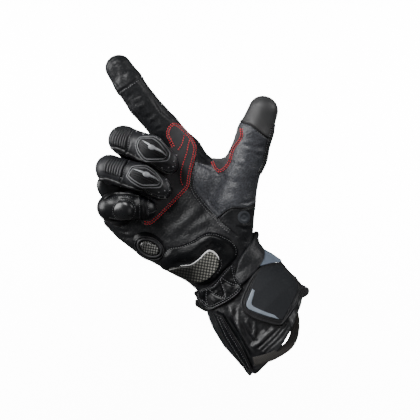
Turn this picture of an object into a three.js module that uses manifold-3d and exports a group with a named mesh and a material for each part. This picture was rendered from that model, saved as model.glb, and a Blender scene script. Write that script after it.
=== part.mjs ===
// A right-hand motorcycle racing glove, worn: the first finger points, the thumb stands out and the
// other three fingers curl over the palm. Millimetres. +X is the viewer's right, +Z is up and the palm
// faces -Y. The origin is the middle of the wrist, inside the glove.
import * as THREE from "three";
import { mergeVertices } from "three/addons/utils/BufferGeometryUtils.js";
import Module from "manifold-3d";

const wasm = await Module();
wasm.setup();

// Driving dimensions
const LEATHER = 2.2; // thickness of the leather walls
const GAP = 0.3; // air between pieces that touch
const ROUND = 12; // sides of a finger
const ROUND_INSIDE = 8; // sides of a finger's inside
const HAND_SIDES = 20; // sides of the hand and the gauntlet
const HAND_SIDES_INSIDE = 14; // sides of the hand's inside
const SQUARENESS = 2.35; // exponent of the hand's and the gauntlet's outline
const FAR = 90; // beyond the glove's front and back
const OVERLAP = 2; // how far the hand's inside and its layers run on into the gauntlet
const SIDE_SEAM_Y = 3; // depth of the seam between palm and back

// The forearm runs down to the right, and the gauntlet's places are given along and across it.
const FOREARM = new THREE.Vector3(0.6, 0, -0.8);
const ACROSS = new THREE.Vector3(0.8, 0, 0.6);
const WRIST_ALONG = 16; // where the hand's leather ends and the gauntlet begins
const CUFF_SHIFT = 2.5; // the gauntlet's middle, across the forearm
const CUFF_SLANT = 0.35; // the hem runs further down on the little finger's side
const CUFF_DROP = 9; // the hem's front and back hang lower than its sides
const CUFF_FOLDS = 6; // folds round the hem
const FOREARM_ANGLE = THREE.MathUtils.radToDeg(Math.atan2(ACROSS.z, ACROSS.x));

// Each limb's joints, from root to tip: centre, half width along `side`, half depth across it.
const joint = (x, y, z, wide, deep) => ({ at: new THREE.Vector3(x, y, z), wide, deep });
const LIMBS = {
  index: {
    side: new THREE.Vector3(0.83, 0, 0.56),
    joints: [
      joint(-28.5, 3, 87.5, 14.8, 13),
      joint(-43, 0, 107.3, 12.2, 11.4),
      joint(-60, -3, 126.8, 11.7, 11.2),
      joint(-71.5, -4, 143.3, 11.6, 10.8),
      joint(-79.6, -4, 155.6, 10.6, 9.4),
    ],
  },
  middle: {
    side: new THREE.Vector3(0.36, 0, 0.93),
    joints: [
      joint(-51, 8, 75, 11.8, 11.8),
      joint(-75, -23, 96.8, 11.3, 11.6),
      joint(-53, -34, 89, 11.4, 10.2),
      joint(-40.5, -23.5, 78.8, 9.9, 9.2),
    ],
  },
  ring: {
    side: new THREE.Vector3(0.3, 0, 0.95),
    joints: [
      joint(-67, 8, 57, 11.2, 11.6),
      joint(-85.5, -25, 74, 11, 11.2),
      joint(-62, -35, 67.6, 10.8, 10),
      joint(-46.5, -24.5, 58.6, 9.8, 9),
    ],
  },
  little: {
    side: new THREE.Vector3(0.05, 0, 1),
    joints: [
      joint(-75, 5, 37.5, 10.6, 11),
      joint(-84.5, -25, 43.6, 10.9, 10.8),
      joint(-69.5, -32, 45, 11.3, 9.8),
      joint(-57.3, -25, 42.3, 9, 8.4),
    ],
  },
  thumb: {
    side: new THREE.Vector3(0.96, 0, -0.27),
    joints: [
      joint(12.5, -6, 22, 15.5, 15.5),
      joint(12.5, -9, 48, 17.2, 16.5),
      joint(20.5, -12, 74, 13.3, 13.6),
      joint(29, -13, 102, 14, 12.6),
      joint(36, -13, 121, 12, 11),
    ],
  },
  web: {
    side: new THREE.Vector3(0, 1, 0),
    joints: [joint(-8, -1, 66, 12, 14.5), joint(13, -8, 73, 9, 11)],
  },
  metacarpal: {
    side: new THREE.Vector3(0.83, 0, 0.56),
    joints: [joint(-27, 3, 86, 14.6, 13), joint(-9, 1, 62, 15.2, 15)],
  },
};

// The hand's sections from the wrist to the knuckles: centre, direction of the width, half sizes.
const section = (x, y, z, degrees, wide, deep) => ({ x, y, z, degrees, wide, deep });
const WRIST = FOREARM.clone().multiplyScalar(WRIST_ALONG).addScaledVector(ACROSS, CUFF_SHIFT);
const HAND = [
  section(WRIST.x, 0, WRIST.z, FOREARM_ANGLE, 30.5, 19.5),
  section(4, 0, -1.5, 40, 29.5, 20),
  section(-3, 0, 5.5, 43, 30.2, 20),
  section(-17, 1, 18.5, 46, 34.6, 19),
  section(-32.5, 3, 33.5, 46, 41, 17.5),
  section(-49.5, 5, 50.5, 46, 44.2, 16),
  section(-61, 6, 61.5, 46, 43.5, 15.5),
  section(-67.5, 7, 68, 46, 37.5, 12.5),
  section(-71, 8, 72, 46, 27, 7.5),
];

// The gauntlet's sections: distance down the forearm, half sizes, depth of the folds.
const CUFF = [
  { along: WRIST_ALONG + GAP, wide: 30.5, deep: 19.5, fold: 0 },
  { along: 26, wide: 33.5, deep: 22.5, fold: 0 },
  { along: 38, wide: 37.5, deep: 25.5, fold: 0.5 },
  { along: 52, wide: 39.2, deep: 28, fold: 1 },
  { along: 74, wide: 36.8, deep: 29.5, fold: 2 },
];

// The middle of some points.
function middle(points) {
  const sum = points.reduce((total, p) => total.add(p), new THREE.Vector3());
  return sum.divideScalar(points.length);
}

// Turns a closed geometry into a solid whose faces point out.
function solidOf(geometry) {
  const bare = geometry.index ? geometry.toNonIndexed() : geometry.clone();
  bare.deleteAttribute("normal");
  bare.deleteAttribute("uv");
  const merged = mergeVertices(bare, 1e-4);
  const corners = new Uint32Array(merged.index.array);
  const vertProperties = merged.attributes.position.array;
  const build = () => new wasm.Manifold(new wasm.Mesh({ numProp: 3, vertProperties, triVerts: corners }));
  const solid = build();
  if (solid.volume() > 0) return solid;
  for (let i = 0; i < corners.length; i += 3) {
    [corners[i + 1], corners[i + 2]] = [corners[i + 2], corners[i + 1]];
  }
  return build();
}

// Skins a row of rings with as many points each, and closes both ends on a point: the middle, or one
// given.
function skin(rings, ends = [rings[0], rings.at(-1)].map(middle)) {
  const count = rings[0].length;
  const points = [...rings.flat(), ...ends];
  const [first, last] = [points.length - 2, points.length - 1];
  const index = [];
  for (let i = 0; i < count; i++) {
    const j = (i + 1) % count;
    const end = (rings.length - 1) * count;
    index.push(first, j, i, last, end + i, end + j);
    for (let r = 0; r < rings.length - 1; r++) {
      const [a, b] = [r * count, (r + 1) * count];
      index.push(a + i, a + j, b + j, a + i, b + j, b + i);
    }
  }
  const geometry = new THREE.BufferGeometry().setFromPoints(points);
  geometry.setIndex(index);
  return solidOf(geometry);
}

const joined = (solids) => solids.reduce((a, b) => a.add(b));

// The faces of the largest shell of a mesh, without the slivers that a cut leaves beside it.
function largestShell(corners, pointCount) {
  const owner = Array.from({ length: pointCount }, (_, i) => i);
  const find = (i) => {
    while (owner[i] !== i) i = owner[i] = owner[owner[i]];
    return i;
  };
  for (let i = 0; i < corners.length; i += 3) {
    owner[find(corners[i + 1])] = find(corners[i]);
    owner[find(corners[i + 2])] = find(corners[i]);
  }
  const shells = [...Map.groupBy(corners, find).values()];
  return shells.reduce((a, b) => (a.length > b.length ? a : b));
}

// How a run of bones ends: rings at angles from its axis, and how far out its last point lies.
const BLUNT = { angles: [90], apex: 0.6 };
const BEND = { angles: [90, 45], apex: 0.97 };
const TIP = { angles: [90, 60, 30], apex: 1 };
const SHARP_BEND = 0.8; // cosine of the angle between two bones

// A tapering tube with oval sections through some joints, mitred at each.
// The inside has fewer sides, within the rounder ones.
function tube(joints, side, grow, end) {
  const sides = grow < 0 ? ROUND_INSIDE : ROUND;
  const steps = joints.slice(1).map((b, i) => b.at.clone().sub(joints[i].at).normalize());
  const reach = (j) => (j.wide + j.deep) / 2 + grow;
  const ring = (j, along, degrees) => {
    const wide = side.clone().addScaledVector(along, -side.dot(along)).normalize();
    const back = along.clone().cross(wide);
    const lift = THREE.MathUtils.degToRad(degrees);
    const centre = j.at.clone().addScaledVector(along, reach(j) * Math.cos(lift));
    return Array.from({ length: sides }, (_, i) => {
      const turn = (i / sides) * 2 * Math.PI;
      return centre.clone()
        .addScaledVector(wide, (j.wide + grow) * Math.sin(lift) * Math.cos(turn))
        .addScaledVector(back, (j.deep + grow) * Math.sin(lift) * Math.sin(turn));
    });
  };
  const last = joints.at(-1);
  const rings = joints.slice(0, -1).map((j, i) => {
    const along = i ? steps[i].clone().add(steps[i - 1]).normalize() : steps[0];
    return ring(j, along, 90);
  });
  rings.push(...end.angles.map((degrees) => ring(last, steps.at(-1), degrees)));
  return skin(rings, [
    joints[0].at.clone().addScaledVector(steps[0], -BLUNT.apex * reach(joints[0])),
    last.at.clone().addScaledVector(steps.at(-1), end.apex * reach(last)),
  ]);
}

// A limb: tubes that meet in its sharp bends.
function limb(name, grow) {
  const { joints, side } = LIMBS[name];
  const direction = (i) => joints[i + 1].at.clone().sub(joints[i].at).normalize();
  const tubes = [];
  let start = 0;
  for (let i = 1; i < joints.length; i++) {
    const isTip = i === joints.length - 1;
    if (!isTip && direction(i - 1).dot(direction(i)) > SHARP_BEND) continue;
    tubes.push(tube(joints.slice(start, i + 1), side, grow, isTip ? TIP : BEND));
    start = i;
  }
  return joined(tubes);
}

// One side of a rounded rectangle, for the hand's and the gauntlet's outline.
const rounded = (value) => Math.sign(value) * Math.abs(value) ** (2 / SQUARENESS);

function oval(centre, width, wide, deep, sides, ripple = () => 0, slant = 0, drop = 0) {
  return Array.from({ length: sides }, (_, i) => {
    const turn = (i / sides) * 2 * Math.PI;
    const more = 1 + ripple(turn);
    const offset = rounded(Math.cos(turn)) * wide * more;
    return centre.clone()
      .addScaledVector(width, offset)
      .addScaledVector(FOREARM, drop * Math.sin(turn) ** 2 - slant * offset)
      .add(new THREE.Vector3(0, rounded(Math.sin(turn)) * deep * more, 0));
  });
}

// The hand without its fingers. Its inside and its layers run on past the wrist.
function handBlock(grow) {
  return skin(HAND.map((s, i) => {
    const angle = THREE.MathUtils.degToRad(s.degrees);
    const width = new THREE.Vector3(Math.cos(angle), 0, Math.sin(angle));
    const centre = new THREE.Vector3(s.x, s.y, s.z);
    if (i === 0 && grow !== 0) centre.addScaledVector(FOREARM, OVERLAP);
    if (i === HAND.length - 1) centre.add(new THREE.Vector3(-width.z, 0, width.x).multiplyScalar(grow));
    const sides = grow < 0 ? HAND_SIDES_INSIDE : HAND_SIDES;
    return oval(centre, width, s.wide + grow, s.deep + grow, sides);
  }));
}

// The gauntlet as a solid. Its inside runs on past both ends, and its layers a little.
function cuffBlock(grow) {
  return skin(CUFF.map((s, i) => {
    const end = i === 0 ? -1 : i === CUFF.length - 1 ? 1 : 0;
    const past = end * (grow < 0 ? OVERLAP : Math.min(grow, GAP));
    const centre = FOREARM.clone().multiplyScalar(s.along + past).addScaledVector(ACROSS, CUFF_SHIFT);
    const share = i / (CUFF.length - 1);
    const ripple = (turn) => (s.fold / s.wide) * Math.cos(CUFF_FOLDS * turn + 2 * share);
    const [slant, drop] = [CUFF_SLANT * share ** 2, CUFF_DROP * share ** 4];
    return oval(centre, ACROSS, s.wide + grow, s.deep + grow, HAND_SIDES, ripple, slant, drop);
  }));
}

const made = new Map();
function body(name, grow) {
  const key = name + grow;
  if (!made.has(key)) {
    const build = {
      hand: () => joined([handBlock(grow), limb("metacarpal", grow)]),
      cuff: () => cuffBlock(grow),
      thumb: () => joined([limb("thumb", grow), limb("web", grow)]),
    };
    made.set(key, (build[name] ?? (() => limb(name, grow)))());
  }
  return made.get(key);
}

const bodies = (names, grow) => joined(names.map((name) => body(name, grow)));

// An outline in the plane of the palm, extruded from one depth to another.
function prism(outline, front = -FAR, back = FAR) {
  const shape = new THREE.Shape(outline.map(([x, z]) => new THREE.Vector2(x, z)));
  const geometry = new THREE.ExtrudeGeometry(shape, { depth: back - front, bevelEnabled: false });
  geometry.rotateX(Math.PI / 2).translate(0, back, 0);
  return solidOf(geometry);
}

const EVERYWHERE = [[-200, -200], [200, -200], [200, 250], [-200, 250]];
const PALM_SIDE = prism(EVERYWHERE, -FAR, SIDE_SEAM_Y);
const BACK_SIDE = prism(EVERYWHERE, SIDE_SEAM_Y + GAP, FAR);
const FINGERS = ["index", "middle", "ring", "little"];
const HOLLOW = bodies(["hand", "thumb", ...FINGERS], -LEATHER);

const LEATHER_BLACK = { color: 0x17181b, roughness: 0.45 };
const MATERIALS = {
  leather: new THREE.MeshStandardMaterial(LEATHER_BLACK),
  grained: new THREE.MeshStandardMaterial({ color: 0x232427, roughness: 0.55 }),
  suede: new THREE.MeshStandardMaterial({ color: 0x1d1c1e, roughness: 0.95 }),
  rubber: new THREE.MeshStandardMaterial({ color: 0x101113, roughness: 0.6 }),
  silver: new THREE.MeshStandardMaterial({ color: 0x8f9194, roughness: 0.4, metalness: 0.3 }),
  carbon: new THREE.MeshStandardMaterial({ color: 0x141414, roughness: 0.15 }),
  flap: new THREE.MeshStandardMaterial({ color: 0x202329, roughness: 0.6 }),
  grey: new THREE.MeshStandardMaterial({ color: 0x6f7886, roughness: 0.7 }),
  webbing: new THREE.MeshStandardMaterial({ color: 0x1b1a19, roughness: 0.9 }),
};

const glove = new THREE.Group();

// Puts a solid into the glove as a named mesh.
function add(name, material, solid) {
  const { vertProperties, triVerts } = solid.getMesh();
  const geometry = new THREE.BufferGeometry();
  geometry.setAttribute("position", new THREE.BufferAttribute(new Float32Array(vertProperties), 3));
  geometry.setIndex(largestShell([...triVerts], vertProperties.length / 3));
  geometry.computeVertexNormals();
  const mesh = new THREE.Mesh(geometry, MATERIALS[material]);
  mesh.name = name;
  glove.add(mesh);
}

// Leather shells of the fingers, open at the root
const INDEX_SEAM = [[-100, 121], [-81, 136], [-62, 150], [-40, 167]];
const TIP_SIDE = [[-40, 200], [-130, 200], [-130, 121]];
const above = (seam, rest) => prism([...seam, ...rest]);
const shell = (name, clear) => body(name, 0).subtract(HOLLOW).subtract(bodies(clear, GAP));
const indexShell = shell("index", ["middle"]);
const indexTip = above(INDEX_SEAM, TIP_SIDE);
const indexTipWide = above(INDEX_SEAM.map(([x, z]) => [x + GAP, z - GAP]), TIP_SIDE);
add("index_finger", "leather", indexShell.subtract(indexTipWide));
add("index_tip", "leather", indexShell.intersect(indexTip));
add("middle_finger", "leather", body("middle", 0).subtract(HOLLOW));
add("ring_finger", "leather", shell("ring", ["middle"]));
add("little_finger", "leather", shell("little", ["ring"]));

// The thumb, cut at its seams into tip, middle and base
const thumbShell = shell("thumb", FINGERS);
const THUMB_SEAM = [[0, 124.5], [19, 111.5], [38.5, 99], [60, 85]];
const THUMB_TOP = [[60, 160], [0, 160]];
const BASE_SEAM = [[-40, 0], [0, 34], [5, 39], [10, 42.3], [20, 43.5], [30, 47], [60, 50]];
const BASE_BELOW = [[60, -20], [-40, -20]];
const shifted = (seam, dz) => seam.map(([x, z]) => [x, z + dz]);
const thumbTip = prism([...THUMB_SEAM, ...THUMB_TOP]);
const thumbTipWide = prism([...shifted(THUMB_SEAM, -GAP), ...THUMB_TOP]);
const thumbBase = prism([...BASE_SEAM, ...BASE_BELOW]);
const thumbBaseWide = prism([...shifted(BASE_SEAM, GAP), ...BASE_BELOW]);
add("thumb_tip", "leather", thumbShell.intersect(thumbTip));
add("thumb_panel", "grained", thumbShell.subtract(thumbTipWide).subtract(thumbBaseWide));
add("thumb_base_panel", "leather", thumbShell.intersect(thumbBase));

// The hand, cut along its sides into palm and back
const handShell = body("hand", 0).subtract(HOLLOW).subtract(bodies([...FINGERS, "thumb"], GAP));
add("palm_panel", "leather", handShell.intersect(PALM_SIDE));
add("back_panel", "leather", handShell.intersect(BACK_SIDE));

// The gauntlet, open at both ends
add("gauntlet", "leather", body("cuff", 0).subtract(body("cuff", -LEATHER)));

// An outline moved outwards by a distance, for the gap round a neighbour.
function widened(outline, by) {
  const points = outline.map(([x, z]) => new THREE.Vector2(x, z));
  const turning = Math.sign(THREE.ShapeUtils.area(points));
  return points.map((p, i) => {
    const before = p.clone().sub(points.at(i - 1)).normalize();
    const after = points[(i + 1) % points.length].clone().sub(p).normalize();
    const along = before.add(after).normalize();
    return [p.x + along.y * by * turning, p.y - along.x * by * turning];
  });
}

// A layer of the given thickness that lies on some bodies, inside an outline on the palm side.
function layer(outline, names, low, thick, front = -FAR, back = 0) {
  return bodies(names, low + thick).subtract(bodies(names, low)).intersect(prism(outline, front, back));
}

// The points of an oval outline.
function ellipse(x, z, wide, high, degrees, count = 14) {
  const tilt = THREE.MathUtils.degToRad(degrees);
  return Array.from({ length: count }, (_, i) => {
    const turn = (i / count) * 2 * Math.PI;
    const [a, b] = [wide * Math.cos(turn), high * Math.sin(turn)];
    return [x + a * Math.cos(tilt) - b * Math.sin(tilt), z + a * Math.sin(tilt) + b * Math.cos(tilt)];
  });
}

// Suede patches with the red seams
const PATCH = 1.2;
const PALM_PATCH = [[-27, 104], [-35, 91], [-60, 70], [-72, 45], [-62, 29.5], [-54, 31], [-42, 42], [-30, 54],
  [-23, 62], [-23, 68], [-20, 80], [-17, 92], [-20, 97]];
const CROTCH_PATCH = [[17, 112], [19.5, 100], [16, 94], [12, 91], [10, 80], [3, 71.5], [0, 71], [-5, 81],
  [-8, 90], [8, 105]];
add("palm_patch", "suede", layer(PALM_PATCH, ["hand", "index"], GAP, PATCH).subtract(
  bodies(["middle", "ring", "little"], GAP)));
add("thumb_crotch_patch", "suede", layer(CROTCH_PATCH, ["hand", "thumb"], GAP, PATCH));

// Padded mounds on the palm, each with a hard insert on top
const PAD = 2.4;
const INSERT = 1.8;
const HEEL_PAD = [[-46, -3], [-44, 6], [-38, 12], [-30, 13.5], [-20, 18], [-12, 23], [-6, 24.5],
  [0, 23.5], [8, 20], [13, 16], [16, 11], [16, 5], [9, 1], [2, -9], [-4, -16], [-17, -21.5], [-26, -20]];
const HEEL_INSERT = [[-39, -6], [-30, -3], [-22, -2.5], [-17, -0.5], [-8, 8.5], [-5, 8.5], [0, 4], [2, -2],
  [-2, -8], [-8, -13], [-15, -16], [-22, -15], [-38, -8]];
const EDGE_PAD = ellipse(-55, 12.5, 15, 11, -32, 16);
const EDGE_INSERT = ellipse(-54.5, 11.5, 9.5, 5.8, -25);
const BASE = ["hand", "thumb"];
add("heel_pad", "leather", layer(HEEL_PAD, BASE, GAP, PAD).subtract(prism(widened(EDGE_PAD, GAP))));
add("heel_slider", "carbon", layer(HEEL_INSERT, BASE, PAD + 2 * GAP, INSERT));
add("edge_pad", "leather", layer(EDGE_PAD, ["hand"], GAP, PAD));
add("edge_slider", "carbon", layer(EDGE_INSERT, ["hand"], PAD + 2 * GAP, INSERT));

// Hexagonal sliders on the fingers: a rubber rim round a hard insert
const RIM = 2.6;
const RIM_WIDTH = 3.2;
const FIST_FRONT = -26; // what lies on the curled fingers' fronts is in front of this depth
const SLIDERS = {
  middle: [[-64, 90], [-62, 95], [-57, 98.5], [-50, 98], [-44, 93], [-39, 86.5], [-41, 81.5],
    [-47, 80], [-61, 86]],
  ring: [[-70.5, 69.5], [-67, 75], [-57, 76], [-52, 71.5], [-45.5, 66], [-45, 62], [-50, 60.5],
    [-61, 60]],
};
for (const [name, outline] of Object.entries(SLIDERS)) {
  const hole = widened(outline, -RIM_WIDTH);
  const insert = widened(outline, -RIM_WIDTH - GAP);
  const rim = layer(outline, [name], GAP, RIM, -FAR, FIST_FRONT);
  add(`${name}_slider_rim`, "rubber", rim.subtract(prism(hole)));
  add(`${name}_slider`, "silver", layer(insert, [name], GAP, RIM + 1, -FAR, FIST_FRONT));
}

// Ribbed stretch panels over the curled knuckles
const RIBS = 5;
const RIB_STEP = 3.6;
const RIB_HEIGHT = 1.3;
const PANEL = 1;
const STRETCH = {
  middle: { x: -83, z: 97.5, high: 9.5 },
  ring: { x: -86.5, z: 74.5, high: 8.6 },
};
for (const [name, { x, z, high }] of Object.entries(STRETCH)) {
  const along = new THREE.Vector2(0.96, -0.28);
  const strip = (from, to, half) => [[from, -half], [to, -half], [to, half], [from, half]]
    .map(([u, v]) => [x + u * along.x - v * along.y, z + u * along.y + v * along.x]);
  const ridge = (outline, thick) => layer(outline, [name], GAP, thick, -FAR, FIST_FRONT);
  const panel = ridge(strip(-3, RIBS * RIB_STEP - 1, high), PANEL);
  const ribs = Array.from({ length: RIBS }, (_, i) =>
    ridge(strip(i * RIB_STEP - 1, i * RIB_STEP + 1, high - 1), PANEL + RIB_HEIGHT));
  const whole = joined([panel, ...ribs]);
  add(`${name}_accordion`, "rubber", whole.subtract(prism(widened(SLIDERS[name], GAP))));
}
const DOME = ellipse(-74, 41.5, 8, 7.5, 0);
const DOME_HEIGHT = 2;
add("little_dome", "leather", layer(DOME, ["little"], GAP, DOME_HEIGHT, -FAR, FIST_FRONT));

// The wrist: a stitched tab and a glossy strap
const STRAP = 1.8;
const WRIST_TAB = [[-17.5, -23], [-10, -19.8], [-4, -17], [0, -12], [4, -8], [10, 0], [12.7, -1], [12.7, -8],
  [14.7, -15], [19.5, -19], [15, -26], [8, -31], [0, -35], [-7, -38], [-13, -33]];
const WRIST_STRAP = [[13, -2], [20, 8], [28, 20], [33, 26], [42, 14], [37, 6], [32, -3], [26.5, -11],
  [20.4, -18.4], [15.2, -14.7], [13, -8]];
const WRIST_BASE = ["hand", "cuff", "thumb"];
const heelRoom = prism(widened(HEEL_PAD, GAP));
add("wrist_tab", "leather", layer(WRIST_TAB, WRIST_BASE, GAP, STRAP).subtract(heelRoom));
add("wrist_strap", "leather", layer(WRIST_STRAP, WRIST_BASE, GAP, STRAP).subtract(heelRoom));

// The closing flap on the gauntlet, with its dark end, light corner stripe and blue-grey triangle
const FLAP = 2.8;
const STRIPE = 0.8;
const FLAP_END = [[67, -15], [72, -19], [66, -30], [60, -40], [55, -49], [50, -51.5], [51.5, -46], [56, -37],
  [60.5, -28], [63.5, -18.5]];
const FLAP_OUTLINE = [[34, -2.5], [46, 0.5], [53, -2], [62, -9], [70, -16], [68, -25], [56, -47], [50, -50],
  [42, -50], [30, -46], [22, -41], [20, -37], [21, -33], [24, -22], [28, -10]];
const TRIANGLE = [[38.4, 9.7], [46, 9], [54, 1], [46, 1], [34.2, -2], [33, -2.5]];
const CORNER = [[27, -21], [29.5, -22], [26.5, -30], [26.5, -34.5], [32, -37.5], [44, -41], [48, -44.5],
  [36, -41.5], [24, -37], [21.5, -34], [24, -27]];
const FLAP_DEPTH = 8; // how far round to the back the flap reaches
add("gauntlet_flap", "flap", layer(FLAP_OUTLINE, ["cuff"], GAP, FLAP, -FAR, FLAP_DEPTH).subtract(
  prism(widened(FLAP_END, GAP))));
add("flap_edge", "leather", layer(FLAP_END, ["cuff"], GAP, FLAP + STRIPE, -FAR, FLAP_DEPTH));
add("flap_corner", "grey", layer(CORNER, ["cuff"], FLAP + 2 * GAP, STRIPE));
add("flap_triangle", "grey", layer(TRIANGLE, ["cuff", "hand"], GAP, FLAP, -FAR, FLAP_DEPTH).subtract(
  prism(widened(FLAP_OUTLINE, GAP))).subtract(prism(widened(WRIST_STRAP, GAP))));

// Strips and tabs on the gauntlet
const SIDE_STRIP = [[0, -39], [5, -42], [12, -52], [20, -64], [25, -74], [28, -84], [23, -82], [17, -70],
  [9, -58], [1, -46]];
const REAR_TAB = [[62, -16], [70, -19], [73.5, -22], [72.5, -26], [68, -29.5], [60, -31]];
const LEFT_TAB = [[-12, -27], [-18.5, -30.5], [-18, -35], [-10, -40], [-4, -40]];
const TAB = 2;
add("side_strip", "leather", layer(SIDE_STRIP, ["cuff"], GAP, STRAP));
const REAR_TAB_Y = 10;
const LEFT_TAB_Y = 2;
const flapRoom = bodies(["cuff"], GAP + FLAP + STRIPE + GAP);
add("rear_tab", "leather", prism(REAR_TAB, REAR_TAB_Y, REAR_TAB_Y + TAB).subtract(flapRoom));
add("left_tab", "leather",
  prism(LEFT_TAB, LEFT_TAB_Y, LEFT_TAB_Y + TAB).subtract(bodies(["cuff", "hand"], GAP)));

// The webbing loop at the hem: a flat band that leaves the leather, turns back and returns to it
const BAND = { wide: 7, thick: 1.3 };
const LOOP_PATH = new THREE.CatmullRomCurve3([
  new THREE.Vector3(58.5, -16, -33),
  new THREE.Vector3(60.5, -14, -45),
  new THREE.Vector3(60, -15, -56),
  new THREE.Vector3(56, -18, -64.5),
  new THREE.Vector3(46, -24, -71),
  new THREE.Vector3(37, -28, -75),
  new THREE.Vector3(30, -29, -77.5),
]);
function band(curve, count, { wide, thick }) {
  return skin(Array.from({ length: count }, (_, i) => {
    const at = curve.getPointAt(i / (count - 1));
    const along = curve.getTangentAt(i / (count - 1));
    const flat = new THREE.Vector3(0, 1, 0);
    const across = along.clone().cross(flat).normalize().multiplyScalar(wide / 2);
    const up = across.clone().cross(along).normalize().multiplyScalar(thick / 2);
    return [[-1, -1], [1, -1], [1, 1], [-1, 1]]
      .map(([a, b]) => at.clone().addScaledVector(across, a).addScaledVector(up, b));
  }));
}
const nearFlap = [FLAP_OUTLINE, FLAP_END].map((outline) =>
  layer(outline, ["cuff"], 0, FLAP + STRIPE + 2 * GAP, -FAR, FLAP_DEPTH));
add("pull_loop", "webbing", band(LOOP_PATH, 14, BAND).subtract(joined([body("cuff", GAP), ...nearFlap])));

// The knuckle guard on the back of the hand
const GUARD = 4;
const GUARD_FRONT = 8; // it lies behind this depth
const KNUCKLE_GUARD = [[-26, 92], [-20, 80], [-34, 68], [-50, 54], [-64, 38], [-76, 34], [-84, 46], [-74, 66],
  [-56, 84], [-38, 98]];
add("knuckle_guard", "rubber",
  layer(KNUCKLE_GUARD, ["hand", ...FINGERS], GAP, GUARD, GUARD_FRONT, FAR));

export default glove;
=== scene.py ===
"""Visual model of a leather motorcycle racing glove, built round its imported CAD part.

Lengths in the tables are millimetres in the part's frame: +X right, +Z up, the palm faces -Y.
"""

import math

import bpy
import numpy as np
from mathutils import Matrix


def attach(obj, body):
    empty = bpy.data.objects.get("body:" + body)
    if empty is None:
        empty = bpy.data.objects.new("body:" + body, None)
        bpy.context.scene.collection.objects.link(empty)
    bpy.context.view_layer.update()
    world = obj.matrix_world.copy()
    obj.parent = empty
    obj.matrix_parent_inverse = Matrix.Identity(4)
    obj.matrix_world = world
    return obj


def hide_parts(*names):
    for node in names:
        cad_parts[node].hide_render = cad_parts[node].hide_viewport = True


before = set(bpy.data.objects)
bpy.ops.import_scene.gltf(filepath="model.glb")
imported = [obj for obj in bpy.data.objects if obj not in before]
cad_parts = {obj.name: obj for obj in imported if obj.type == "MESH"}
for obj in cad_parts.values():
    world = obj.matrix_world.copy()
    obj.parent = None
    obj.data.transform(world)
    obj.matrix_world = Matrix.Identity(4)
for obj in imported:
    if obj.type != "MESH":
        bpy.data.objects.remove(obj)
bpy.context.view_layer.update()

import openvdb
from bpy.props import FloatProperty, FloatVectorProperty, PointerProperty
from mathutils import Vector

bl_info = {
    "name": "Racing Glove",
    "version": (1, 0, 0),
    "blender": (4, 5, 0),
    "location": "View3D > Sidebar > Glove",
    "description": "Builds the visual model of a leather motorcycle racing glove",
    "category": "Add Mesh",
}

MM = 0.001
# Thickness of the gauntlet's leather, and the power that rounds the oblong sections of palm and gauntlet
WALL = 2.2
SQUARENESS = 2.35
# The directions down the gauntlet and across it, and the one to the front, which threads and piping face
FOREARM = np.array([0.6, 0.0, -0.8])
ACROSS = np.array([0.8, 0.0, 0.6])
FRONT = np.array([0.0, -1.0, 0.0])
# The window of the palm's plane that holds the glove above the cuff: its low and its high corner
HAND_WINDOW = ((-106, -34), (60, 174))
# Where the probing of depths starts, and how many rounds fill the points that it misses
PROBE_FROM = 200.0
FILL_ROUNDS = 14

# Joints of each limb from root to tip: x, y, z, half width along the side, half depth
LIMBS = {
    "index": ((0.83, 0, 0.56), [(-28.5, 3, 87.5, 14.8, 13), (-43, 0, 107.3, 12.2, 11.4),
                                (-60, -3, 126.8, 11.7, 11.2), (-71.5, -4, 143.3, 11.6, 10.8),
                                (-79.6, -4, 155.6, 10.6, 9.4)]),
    "middle": ((0.36, 0, 0.93), [(-51, 8, 75, 11.8, 11.8), (-75, -23, 96.8, 11.3, 11.6),
                                 (-53, -34, 89, 11.4, 10.2), (-40.5, -23.5, 78.8, 9.9, 9.2)]),
    "ring": ((0.3, 0, 0.95), [(-67, 8, 57, 11.2, 11.6), (-85.5, -25, 74, 11, 11.2),
                              (-62, -35, 67.6, 10.8, 10), (-46.5, -24.5, 58.6, 9.8, 9)]),
    "little": ((0.05, 0, 1), [(-75, 5, 37.5, 10.6, 11), (-84.5, -25, 43.6, 10.9, 10.8),
                              (-69.5, -32, 45, 11.3, 9.8), (-57.3, -25, 42.3, 9, 8.4)]),
    "thumb": ((0.96, 0, -0.27), [(12.5, -6, 22, 15.5, 15.5), (12.5, -9, 48, 17.2, 16.5),
                                 (20.5, -12, 74, 13.3, 13.6), (29, -13, 102, 14, 12.6),
                                 (36, -13, 121, 12, 11)]),
    "web": ((0, 1, 0), [(-8, -1, 66, 12, 14.5), (13, -8, 73, 9, 11)]),
    "metacarpal": ((0.83, 0, 0.56), [(-27, 3, 86, 14.6, 13), (-9, 1, 62, 15.2, 15)]),
}

# Sections of the glove's palm: x, y, z, angle of the width in degrees, half width, half depth
HAND = np.array([
    (19, 0, -18, 37, 30, 19.5), (11.6, 0, -11.3, 37, 30.5, 19.5), (4, 0, -1.5, 40, 29.5, 20),
    (-3, 0, 5.5, 43, 30.2, 20), (-17, 1, 18.5, 46, 34.6, 19),
    (-32.5, 3, 33.5, 46, 41, 17.5), (-49.5, 5, 50.5, 46, 44.2, 16),
    (-61, 6, 61.5, 46, 43.5, 15.5), (-67.5, 7, 68, 46, 37.5, 12.5), (-71, 8, 72, 46, 27, 7.5),
])
HAND_AXIS = np.array([-0.719, 0.0, 0.695])

# Sections of the gauntlet, carried on over the wrist: along the forearm, shift across, half width, half depth
CUFF = np.array([
    (-14, 0.4, 30.8, 20), (-6, 0.9, 30.3, 20), (3.6, 2.3, 29.8, 20), (16, 2.5, 30.7, 19.6),
    (26, 2.5, 33.5, 22.5), (38, 2.5, 37.5, 25.5), (52, 2.5, 39.2, 28), (74, 2.5, 36.8, 29.5),
])
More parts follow.
